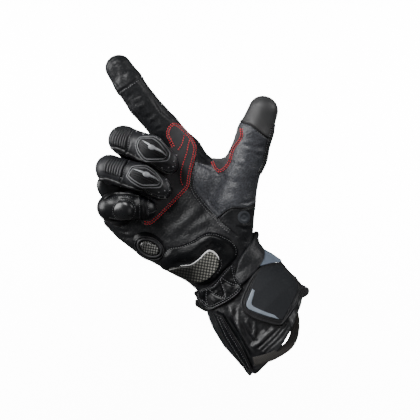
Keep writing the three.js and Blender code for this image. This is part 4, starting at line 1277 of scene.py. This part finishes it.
class GLOVE_OT_palm(PieceOperator, bpy.types.Operator):
    """Build the palm's suede patches, padded mounds, hard inserts and stitching"""

    bl_idname = "glove.palm"
    bl_label = "Palm Trim"

    def execute(self, context):
        self.patches(MADE["front"])
        self.pads(MADE["front"])
        self.thumb(MADE["front"])
        return {"FINISHED"}

    def patches(self, front):
        """Both suede patches, and the red rows sewn through them."""
        thick = self.size("patch_thickness")
        palm_patch = laid_patch(front, coons(**PALM_PATCH, rows=150, cols=60), thick, 0.9)
        piece("palm_patch", palm_patch, "suede", ["palm_patch"])
        strip = np.linspace(0, 1, 22)[:, None, None]
        grid = curve(CROTCH["outer"], 110)[None] * strip + curve(CROTCH["inner"], 110)[None] * (1 - strip)
        crotch = laid_patch(front, grid, thick, 0.8)
        piece("thumb_crotch_patch", crotch, "suede", ["thumb_crotch_patch"])
        layered = Drape([MADE["skin"], palm_patch, crotch], *HAND_WINDOW, 0.5)
        inner = np.array(CROTCH["inner"]) * 0.86 + np.array(CROTCH["outer"]) * 0.14
        lines = [*RED_LINES, ((0.75, -0.75), inner)]
        rows = [laid_stitches(layered, line, 0.12, self.size("stitch_pitch"), 1.7,
                              self.size("thread_radius"), offsets) for offsets, line in lines]
        piece("red_stitches", join_meshes(rows), "red")

    def pads(self, front):
        """The padded mounds on the heel of the palm and at its edge, with their hard inserts and rims, and
        near-white tubes that are painted highlights on the plate's edges and by the oval insert.
        """
        pad = fan((-12, 4), HEEL_PAD, 40, 200)
        folds = relief(pad[..., 0], pad[..., 1], HEEL_FOLDS)
        heel = laid_patch(front, pad, 1.5, 5.0, True, (0.6 + folds) * smooth((1 - ring_share(40)) / 0.18))
        piece("heel_pad", heel, "padded", ["heel_pad"])
        edge = fan((-55, 12.5), oval(-55, 12.5, 14.6, 10.6, -32), 26, 100)
        mound = laid_patch(front, edge, 1.2, 4.0, True, 1.6 * smooth((1 - ring_share(26)) / 0.5))
        piece("edge_pad", mound, "padded", ["edge_pad"])

        top = Drape([MADE["skin"], heel, mound], (-70, -28), (24, 32), 0.4)
        plate = coons(**HEEL_PLATE, rows=70, cols=130)
        piece("heel_slider", laid_patch(top, plate, 2.1, 1.5), "carbon", ["heel_slider"])
        # Painted highlights: near-white tubes along the plate's top edge and under it, and a painted glint by
        # the oval insert
        highlight_line = np.array([*HEEL_PLATE["top"][1:], (0.6, 1.6)]) + np.array([0.2, 0.3])
        rim = laid_tube(top, highlight_line, (0.2, 0.3, 0.55, 0.8, 0.85, 0.3), 1.0, around=10)
        painted_under_highlight = laid_tube(top, PLATE_UNDER_HIGHLIGHT, (0.2, 0.4, 0.2), 0.6)
        painted_glint = laid_tube(top, [(-60.4, 13.4), (-57.6, 15.4), (-54, 15.6)], (0.2, 0.45, 0.2), 1.5)
        piece("heel_slider_painted_highlights", join_meshes([rim, painted_under_highlight, painted_glint]), "edge")
        insert = fan((-54.5, 11.5), oval(-54.5, 11.5, 8.2, 4.8, -25), 20, 80)
        insert = laid_patch(top, insert, 1.5, 1.6, True, 0.9 * (1 - ring_share(20)**2))
        piece("edge_slider", insert, "oval_weave", ["edge_slider"])
        rims = [laid_tube(top, oval(-54.5, 11.5, 9.7, 6.2, -25), 0.95, 0.35, True, 10),
                laid_tube(top, oval(-54.8, 11.2, 12.0, 8.2, -27), 0.55, 0.2, True, 10)]
        piece("slider_rims", join_meshes(rims), "rubber")
        MADE["pads"] = top

    def thumb(self, front):
        """The plain ringed disc, the strip on the thumb's edge, its piping, and the palm's black stitches."""
        disc = fan((20.5, 36), oval(20.5, 36, 5.2, 5.2, 0), 16, 60)
        share = ring_share(16)
        rings = 0.25 * np.cos(share * 3 * math.pi)
        disc = laid_patch(front, disc, 0.25, 0.5, True, rings * smooth((1 - share) * 6))
        piece("base_disc", disc, "printed")
        edge = laid_patch(front, coons(**THUMB_STRIP, rows=90, cols=14), 1.1, 0.9)
        piece("thumb_edge", edge, "binding")
        edged = Drape([MADE["skin"], edge], (24, 64), (54, 116), 0.5)
        drapes = {"skin": front, "pads": MADE["pads"], "edge": edged}
        rows = [laid_stitches(drapes[name], line, 0.05, 1.9, 1.25, 0.3, offsets)
                for name, offsets, line in BLACK_LINES]
        piece("black_stitches", join_meshes(rows), "black_thread")
        piping = [laid_tube(front, line, radius, lift, around=sides)
                  for radius, lift, sides, line in THUMB_PIPING]
        piece("thumb_piping", join_meshes(piping), "binding")


# The wrist strap's edges round the wrist: turn, and distance down the forearm of the upper and the lower edge
STRAP_EDGES = [
    (-1.56, 16.5, 25.4), (-1.5, 15.0, 25.3), (-1.3, 9.5, 24.8), (-1.14, 7.1, 24.2), (-0.75, 4.0, 21.0),
    (-0.53, 2.7, 18.6), (-0.1, -0.8, 14.5), (0.5, -1.5, 12.8), (1.57, 2.0, 15.0), (2.6, 8.0, 19.0),
    (3.4, 12.0, 21.0),
]
# The closing flap: the sides of its outline and of its slate face
FLAP = dict(
    bottom=[(20, -38.6), (28.3, -44.4), (40.3, -48.4), (48.3, -49.9), (52.3, -48)],
    top=[(34.9, -2.6), (42, -0.9), (50.9, 0.3)],
    left=[(20, -38.6), (17.6, -33.6), (18.4, -27.7), (23.6, -15.7), (28.4, -8.2), (34.9, -2.6)],
    right=[(52.3, -48), (57.6, -41.1), (62.9, -33.1), (67.6, -22.4), (66.9, -17.7), (57.6, -7.7),
           (50.9, 0.3)],
)
FLAP_FACE = dict(
    bottom=[(24.2, -37.2), (30, -40.8), (40, -44.2), (50.6, -45.6)],
    top=[(34.9, -4.6), (42, -2.6), (50.6, -1.6)],
    left=[(24.2, -37.2), (21.8, -33.4), (22.6, -26.4), (27.6, -15), (30.6, -9.6), (34.9, -4.6)],
    right=[(50.6, -45.6), (55.8, -37.2), (60, -29.2), (63.8, -19.4), (57, -9.4), (50.6, -1.6)],
)
# The two edges of the flap's light corner stripe
STRIPE = dict(
    outer=[(27.0, -20.2), (24.6, -26), (22.2, -32), (22.3, -34.6), (24.4, -36.9), (32, -39.9), (40, -42.6),
           (48.8, -44.8)],
    inner=[(29.0, -22.0), (27.9, -27), (26.6, -31.6), (26.8, -33.2), (28.2, -34.4), (33, -36.8), (39, -39.2),
           (44.2, -41)],
)

# Stitches of the wrist tab: the path and the offsets of its rows. Those inside it sink into grooves.
TAB_STITCHES = [
    ([(-14.6, -23.6), (-9.6, -21.4), (-3.4, -18.8), (1.2, -13.6), (6.4, -7.4), (11, -2.6)], (0.0,)),
    ([(11.4, -2.2), (12.2, -8.4), (14, -14.6), (17.6, -18.8)], (0.6, -0.8)),
    ([(-13.4, -30.4), (-7, -35.4), (0, -33), (7.8, -29), (14.4, -24), (17.8, -19.8)], (0.6, -0.9)),
    ([(-13.2, -31.2), (-15.4, -27.6), (-15.8, -23.8)], (0.0,)),
    ([(-8.4, -20.6), (-2, -25), (6, -28.4)], (0.0,)),
    ([(6.2, -27.6), (4, -20), (1.6, -13.2)], (0.0,)),
    ([(1.8, -11.6), (8, -15.4), (16.4, -18.6)], (0.0,)),
    ([(-8.8, -21.2), (-9.4, -28), (-8, -34)], (0.0,)),
]
# The grooves of those stitches, and the padding between them
TAB_RELIEF = [
    *(("ridge", 0.9, -0.75, line) for line, _ in TAB_STITCHES[4:]),
    *(("ridge", 0.7, -0.5, line) for line, _ in TAB_STITCHES[:4]),
    ("ridge", 2.6, 0.35, [(-13, -28.5), (-11.4, -26), (-10.6, -23.6)]),
    ("ridge", 2.6, 0.35, [(-4, -30), (-2, -29), (0, -31)]),
    ("ridge", 2.6, 0.35, [(-2, -20.4), (0, -20), (2, -23)]),
    ("ridge", 2.6, 0.35, [(8, -24), (9.6, -20), (12, -19)]),
    ("ridge", 2.4, 0.3, [(8, -10), (9.4, -9), (10.4, -12)]),
]

# Folds of the gauntlet's leather on the side that shows
CUFF_RELIEF = [
    ("fold", 2.0, 2.0, [(8, -31), (11, -45), (20, -62), (28, -76)]),
    ("fold", 1.6, 1.5, [(14, -34), (16, -48), (19, -60)]),
    ("fold", 1.6, 1.3, [(12, -40), (15, -52), (20, -64)]),
    ("fold", 2.0, 1.8, [(20, -44), (24, -54), (30, -64)]),
    ("fold", 1.6, 1.3, [(27, -46), (28, -54), (27, -62)]),
    ("fold", 2.2, 2.0, [(38, -51), (31, -60), (25, -68)]),
    ("fold", 1.6, 1.5, [(44, -50), (36, -58), (29, -66)]),
    ("seam", 0.9, 1.0, [(50, -49), (43, -57), (32, -67)]),
    ("seam", 0.8, 0.8, [(53, -49), (46, -58), (35, -69)]),
    ("seam", 0.8, 0.8, [(56, -50), (49, -60), (38, -70)]),
    ("valley", 1.0, -1.2, [(3.6, -39), (11, -50), (20, -64), (27, -78)]),
    ("fold", 1.6, 0.8, [(-7, -42), (0, -54), (8, -66), (17, -78)]),
]

# The sides of the wrist tab, of the small tab under it, and of the tab behind the flap
TAB = dict(
    bottom=[(-14, -34), (-7, -37.6), (0, -35), (8, -31), (15, -26), (19.6, -19.4)],
    top=[(-17.4, -22.4), (-10, -19.4), (-4, -16.6), (1, -11.4), (6, -5.4), (12, -0.8)],
    left=[(-14, -34), (-16.6, -28), (-17.4, -22.4)],
    right=[(19.6, -19.4), (15.2, -14.6), (13.2, -8), (12, -0.8)],
)
LEFT_TAB = dict(
    bottom=[(-10, -40), (-4, -37)],
    top=[(-18.6, -30.6), (-12, -28)],
    left=[(-10, -40), (-17.6, -35.4), (-18.6, -30.6)],
    right=[(-4, -37), (-9, -32), (-12, -28)],
)
REAR_TAB = dict(
    bottom=[(60, -31), (68, -29.4)],
    top=[(62, -16), (70, -19.2)],
    left=[(60, -31), (61, -24), (62, -16)],
    right=[(68, -29.4), (72.6, -26.4), (73.4, -22), (70, -19.2)],
)
# The sides of the triangle above the flap, and of the strip down the gauntlet's left side
TRIANGLE = dict(
    bottom=[(32.4, -3.4), (42, -0.8), (50.4, 0.2)],
    top=[(36.2, 11), (44, 6.6), (50.6, 2)],
    left=[(32.4, -3.4), (34, 4), (36.2, 11)],
    right=[(50.4, 0.2), (50.8, 1), (50.6, 2)],
)
SIDE_STRIP = dict(
    bottom=[(24.6, -83), (28.4, -82)],
    top=[(-1, -38), (4.6, -40.4)],
    left=[(24.6, -83), (16.6, -71), (7.6, -57), (-1, -38)],
    right=[(28.4, -82), (20.6, -66.6), (12, -52.6), (4.6, -40.4)],
)
STRIP_PIPING = [
    [(-1.4, -38.6), (7.4, -57.6), (16.4, -71.8), (24.6, -84)],
    [(4.2, -41), (11.6, -53), (20.2, -67), (28.2, -83)],
]
STRIP_STITCHES = [
    [(1.2, -41), (9, -57.4), (17.6, -71), (25.2, -82)],
    [(3.4, -42), (10.8, -54.6), (19, -68), (26.6, -81)],
]
# The middle of the pull loop's webbing: x, y, z
PULL_LOOP = [
    (58.5, -16, -31), (61.2, -16, -45), (60.6, -19, -56), (56.4, -23, -65), (47, -28, -71.6),
    (38, -31, -75.4), (28, -31, -78),
]


class GLOVE_OT_gauntlet(PieceOperator, bpy.types.Operator):
    """Build the gauntlet, wrist strap, closing flap, tabs and pull loop"""

    bl_idname = "glove.gauntlet"
    bl_label = "Gauntlet and Straps"

    def execute(self, context):
        self.leather()
        self.strap()
        self.flap()
        self.side()
        self.loop()
        return {"FINISHED"}

    def leather(self):
        """An open tube: inner wall, rolled hem and outer wall, folded, and rippled by sines near the hem."""
        inner, hem, outer, cols = 30, 5, 130, 330
        arc = np.linspace(0.2, math.pi - 0.2, hem)
        a = np.concatenate([np.linspace(18, CUFF_END - 1, inner), CUFF_END + 1.2 * np.sin(arc),
                            np.linspace(CUFF_END - 1, CUFF_START - 6, outer)])[:, None]
        rolled = -WALL * (0.5 + 0.5 * np.cos(np.linspace(0, math.pi, hem)))
        lift = np.concatenate([np.full(inner, -WALL), rolled, np.zeros(outer)])[:, None]
        turn = np.linspace(0, 2 * math.pi, cols, endpoint=False)[None]
        share = np.minimum(cuff_share(a), 1)
        ripple = 0.045 * share**2 * np.cos(6 * turn + 2 * share) + 0.02 * share * np.sin(11 * turn + 3)
        turn = turn + 0 * a
        base = cuff(a + 0 * turn, turn, lift + 0 * turn, ripple)
        normal = normals_of(base, wrap=True)
        middle = base.mean((0, 1))
        # The grid's normals are turned outwards on the outer wall, and on the inner wall
        normal *= np.sign(np.einsum("rcj,rcj->", normal[2 * inner :], base[2 * inner :] - middle))
        normal[:inner] *= np.sign(np.einsum("rcj,rcj->", normal[:inner], base[:inner] - middle))
        x, y, z = base[..., 0], base[..., 1], base[..., 2]
        height = smooth((4 - y) / 8) * relief(x, z, CUFF_RELIEF) * smooth(share * 6)
        height = 0.6 * height + 0.3 * waves(x, y, z, 21, 18) * smooth(share * 3)
        height = height + 0.05 * waves(x, y, z, 22, 6)
        points = base + normal * height[..., None]
        quads = grid_quads(*points.shape[:2], wrap=True)
        flat = points.reshape(-1, 3)
        wall = quads[2 * inner * cols :]
        a, b, c = (flat[wall[:, k]] for k in range(3))
        if np.einsum("ij,ij->", np.cross(b - a, c - a), flat[wall].mean(1) - middle) < 0:
            quads = quads[:, ::-1]
        MADE["cuff"] = (flat, quads)
        piece("gauntlet", (flat, quads), "creased", ["gauntlet"])

    def on_cuff(self, bottom, top, left, right, rows, cols, thick, bevel, lift=0.3, folds=()):
        """A patch on the gauntlet between four curves given in the palm's plane."""
        sides = ((bottom, cols), (top, cols), (left, rows), (right, rows))
        grid = between(*(cuff_place(curve(line, count)) for line, count in sides))
        flat = cuff(grid[..., 0], grid[..., 1], lift)
        height = padded_height(flat, thick, bevel) + relief(flat[..., 0], flat[..., 2], folds)
        return sheet_mesh(cuff(grid[..., 0], grid[..., 1], lift + height))

    def strap(self):
        """The stitched tab in front and the glossy band that goes on round the wrist."""
        thick = self.size("strap_thickness")
        tab = self.on_cuff(**TAB, rows=70, cols=120, thick=thick, bevel=1.3, lift=1.0, folds=TAB_RELIEF)
        piece("wrist_tab", tab, "padded", ["wrist_tab"])
        edges = np.array(STRAP_EDGES)
        t = np.linspace(edges[0, 0], edges[-1, 0], 190)[None, :]
        v = np.linspace(0, 1, 26)[:, None]
        a = (1 - v) * np.interp(t, edges[:, 0], edges[:, 1]) + v * np.interp(t, edges[:, 0], edges[:, 2])
        lift = 1.1 + 0.5 * np.maximum(8 - a, 0) * np.maximum(np.cos(t), 0) ** 2
        flat = cuff(a, t + 0 * a, lift)
        height = padded_height(flat, thick, 1.2) + 0.5 * np.sin(math.pi * v)
        points = cuff(a, t + 0 * a, lift + height)
        band = (points.reshape(-1, 3), self.outward(points))
        piece("wrist_strap", band, "leather", ["wrist_strap"])
        layered = Drape([MADE["skin"], MADE["cuff"], tab, band], (-30, -60), (60, 34), 0.5)
        rows = [laid_stitches(layered, line, 0.1, 1.8, 1.3, 0.3, offsets) for line, offsets in TAB_STITCHES]
        piece("strap_stitches", join_meshes(rows), "black_thread")
        tab = tongue(coons(**LEFT_TAB, rows=20, cols=16), 3.0, 1.8)
        piece("left_tab", tab, "glossy", ["left_tab"])

    def outward(self, points):
        """Quads of a band round the forearm, facing away from its axis."""
        quads = grid_quads(*points.shape[:2])
        flat = points.reshape(-1, 3)
        a, b, c = (flat[quads[:, k]] for k in range(3))
        middles = flat[quads].mean(1)
        off = middles - (middles @ FOREARM)[:, None] * FOREARM - ACROSS * 2.5
        return quads if np.einsum("ij,ij->", np.cross(b - a, c - a), off) > 0 else quads[:, ::-1]

    def flap(self):
        """The closing flap with its slate face, piping and corner stripe, and the triangle above it."""
        thick = self.size("flap_thickness")
        grid = coons(**FLAP, rows=100, cols=90)
        piece("gauntlet_flap", slab(grid, self.bed(grid), thick, 1.5), "binding", ["gauntlet_flap"])
        face = coons(**FLAP_FACE, rows=80, cols=70)
        height = padded_height(face, 0.5, 0.7, tuck=0.2)
        points = np.stack([face[..., 0], self.bed(face) - thick - height, face[..., 1]], -1)
        piece("flap_face", sheet_mesh(points), "flap")
        edges = ((FLAP, 0.9, 1.3), (FLAP_FACE, 0.6, -0.3))
        piping = [self.edging(sides["left"][::-1][1:] + sides["bottom"][1:] + sides["right"][1:-1], thick,
                              radius, inset) for sides, radius, inset in edges]
        piece("flap_edge", join_meshes(piping), "binding", ["flap_edge"])
        v = np.linspace(0, 1, 9)[:, None, None]
        strip = resample(STRIPE["outer"], 70)[None] * (1 - v) + resample(STRIPE["inner"], 70)[None] * v
        height = padded_height(strip, 0.4, 0.5, tuck=0.3)
        points = np.stack([strip[..., 0], beside_cuff(strip) - 1.0 - thick - height, strip[..., 1]], -1)
        piece("flap_corner", sheet_mesh(points), "grey", ["flap_corner"])
        grid = coons(**TRIANGLE, rows=24, cols=40)
        triangle = slab(grid, self.bed(grid), thick - 0.6, 1.0)
        piece("flap_triangle", triangle, "blue", ["flap_triangle"])

    def side(self):
        """The padded strip down the gauntlet's left side, with its piping and stitches."""
        strip = self.on_cuff(**SIDE_STRIP, rows=90, cols=30, thick=2.8, bevel=1.1, lift=0.8)
        piece("side_strip", strip, "padded", ["side_strip"])
        edges = [cuff_place(curve(line, 90)).T for line in STRIP_PIPING]
        tubes = [tube(cuff(a, turn, 3.5), 0.8, unit(cuff(a, turn, 5) - cuff(a, turn, 0)))
                 for a, turn in edges]
        piece("strip_piping", join_meshes(tubes), "glossy")
        rows = []
        for a, turn in (cuff_place(curve(line, 90)).T for line in STRIP_STITCHES):
            path = cuff(a, turn, 3.65)
            rows.append(stitches(path, unit(path - cuff(a, turn, 0.0)), 1.9, 1.3, 0.26))
        piece("strip_stitches", join_meshes(rows), "black_thread")

    def bed(self, grid):
        """Depth at which the flap lies: sunk by half a millimetre into the gauntlet's front."""
        return beside_cuff(grid) - 0.5

    def edging(self, line, thick, radius, inset):
        """A rounded edge round the flap's free sides, a little inside its outline."""
        path = curve(line, 130)
        along = unit(np.gradient(path, axis=0))
        path = path + np.stack([-along[:, 1], along[:, 0]], 1) * inset
        depth = self.bed(path) - thick + radius * 0.35
        return tube(np.stack([path[:, 0], depth, path[:, 1]], 1), radius, FRONT, 10)

    def loop(self):
        """The webbing loop at the hem, the small tab behind the flap, and the little loop at the wrist."""
        path = curve(PULL_LOOP, 90)
        piece("pull_loop", tube(path, 3.5, FRONT, 20, 0.2), "webbing", ["pull_loop"])
        tab = tongue(coons(**REAR_TAB, rows=20, cols=18), 11.0, 2.0)
        piece("rear_tab", tab, "rubber", ["rear_tab"])
        ring = oval(30.1, 21.4, 2.0, 2.7, -20)
        ring = curve(np.stack([ring[:, 0], np.full(24, -3.0), ring[:, 1]], 1), 40, closed=True)
        piece("wrist_loop", tube(ring, 0.8, FRONT, 10, closed=True), "rubber")


# The sides of the knuckle guard
GUARD = dict(
    bottom=[(-76, 34), (-70, 33), (-64, 36)],
    top=[(-38, 98), (-30, 94), (-22, 84)],
    left=[(-76, 34), (-84, 46), (-80, 60), (-66, 76), (-50, 90), (-38, 98)],
    right=[(-64, 36), (-58, 48), (-48, 58), (-38, 68), (-28, 76), (-22, 84)],
)


class GLOVE_OT_back(PieceOperator, bpy.types.Operator):
    """Build the knuckle guard: a sheet with four humps of height |sin|"""

    bl_idname = "glove.back"
    bl_label = "Knuckle Guard"

    def execute(self, context):
        fingers = [MADE[f"{name}_finger"] for name in FINGER_BOXES]
        behind = Drape([MADE["skin"], *fingers], *HAND_WINDOW, sign=1)
        rows, cols = 110, 50
        grid = coons(**GUARD, rows=rows, cols=cols)
        v, u = np.linspace(0, 1, rows)[:, None], np.linspace(0, 1, cols)[None]
        humps = np.abs(np.sin(math.pi * 4 * v)) ** 0.7 * np.sin(math.pi * u) ** 0.6
        guard = laid_patch(behind, grid, 2.0, 1.6, extra=1.6 * humps)
        piece("knuckle_guard", guard, "rubber", ["knuckle_guard"])
        return {"FINISHED"}


# The backdrop's profile from front to back: distance and height, and half its width, in millimetres
BACKDROP = [(-9000, -800), (2500, -800), (3800, -700), (4700, -200), (5000, 800), (5000, 5000)]
BACKDROP_HALF = 9000
# The camera's distance, the width that it sees there, and the middle of its view: across and up, in metres
CAMERA_DISTANCE, FRAME_WIDTH = 2.2, 0.336
VIEW_CENTRE = (-0.0064, 0.0416)
SENSOR = 36
WORLD_LIGHT = 0.1
# Lamps: name, place and what it faces in metres, size in metres and watts
LAMPS = [
    ("key", (-0.6, -1.0, 1.0), (-0.01, 0, 0.04), 0.55, 20),
    ("left_rim", (-1.2, -0.25, 0.3), (-0.01, 0, 0.04), 0.8, 20),
    ("right_rim", (1.0, -0.3, 0.6), (-0.01, 0, 0.04), 0.6, 6),
    ("low_fill", (0.3, -1.1, -0.5), (-0.01, 0, 0.02), 0.8, 2),
    ("wall_left", (-2.2, 2.4, 0.3), (-0.8, 5.0, 0.0), 2.0, 1400),
    ("wall_right", (2.2, 2.4, 0.3), (0.8, 5.0, 0.0), 2.0, 1400),
]


class GLOVE_OT_stage(PieceOperator, bpy.types.Operator):
    """Build the pale floor and backdrop, the soft lights and the camera"""

    bl_idname = "glove.stage"
    bl_label = "Stage"

    def execute(self, context):
        scene = context.scene
        line = curve(BACKDROP, 60)
        x = np.linspace(-BACKDROP_HALF, BACKDROP_HALF, 4)
        grid = np.stack([np.tile(x, (60, 1)), np.tile(line[:, :1], (1, 4)), np.tile(line[:, 1:], (1, 4))], -1)
        floor = raw_object("backdrop", *sheet_mesh(grid))
        s = Shader("backdrop_white")
        floor.data.materials.append(s.finish((0.9, 0.9, 0.9), s.noise(40) * 0.02 + 0.9))
        floor.visible_glossy = floor.visible_diffuse = False
        world = bpy.data.worlds.new("studio")
        world.use_nodes = True
        background = world.node_tree.nodes["Background"].inputs
        background[0].default_value = (1, 1, 1, 1)
        background[1].default_value = WORLD_LIGHT
        scene.world = world
        for name, at, target, size, power in LAMPS:
            light = bpy.data.lights.new(name, "AREA")
            light.energy, light.size = power, size
            lamp = bpy.data.objects.new(name, light)
            lamp.location = at
            lamp.rotation_euler = (Vector(target) - Vector(at)).to_track_quat("-Z", "Y").to_euler()
            scene.collection.objects.link(lamp)
        camera = bpy.data.cameras.new("camera")
        camera.sensor_width = SENSOR
        camera.lens = SENSOR * CAMERA_DISTANCE / FRAME_WIDTH
        camera.clip_end = 20
        view = bpy.data.objects.new("camera", camera)
        view.location = (VIEW_CENTRE[0], -CAMERA_DISTANCE, VIEW_CENTRE[1])
        view.rotation_euler = (math.pi / 2, 0, 0)
        scene.collection.objects.link(view)
        bpy.context.scene.camera = view
        return {"FINISHED"}


OPERATORS = (GLOVE_OT_hand, GLOVE_OT_fingers, GLOVE_OT_palm, GLOVE_OT_gauntlet, GLOVE_OT_back, GLOVE_OT_stage)


class GLOVE_PT_panel(bpy.types.Panel):
    """Lists the glove's settings and its operators"""

    bl_idname = "GLOVE_PT_panel"
    bl_label = "Racing Glove"
    bl_space_type = "VIEW_3D"
    bl_region_type = "UI"
    bl_category = "Glove"

    def draw(self, context):
        for group in (context.scene.glove_sizes, context.scene.glove_colours):
            for name in group.__annotations__:
                self.layout.prop(group, name)
        for operator in OPERATORS:
            self.layout.operator(operator.bl_idname)


CLASSES = (GloveSizes, GloveColours, *OPERATORS, GLOVE_PT_panel)


def register():
    """Registers the settings, the operators and the panel."""
    for cls in CLASSES:
        bpy.utils.register_class(cls)
    bpy.types.Scene.glove_sizes = PointerProperty(type=GloveSizes)
    bpy.types.Scene.glove_colours = PointerProperty(type=GloveColours)


def unregister():
    """Takes them away again."""
    del bpy.types.Scene.glove_colours
    del bpy.types.Scene.glove_sizes
    for cls in reversed(CLASSES):
        bpy.utils.unregister_class(cls)


def main():
    """Builds the glove and its stage."""
    register()
    for operator in OPERATORS:
        getattr(bpy.ops.glove, operator.bl_idname.split(".")[1])()


if __name__ == "__main__":
    main()
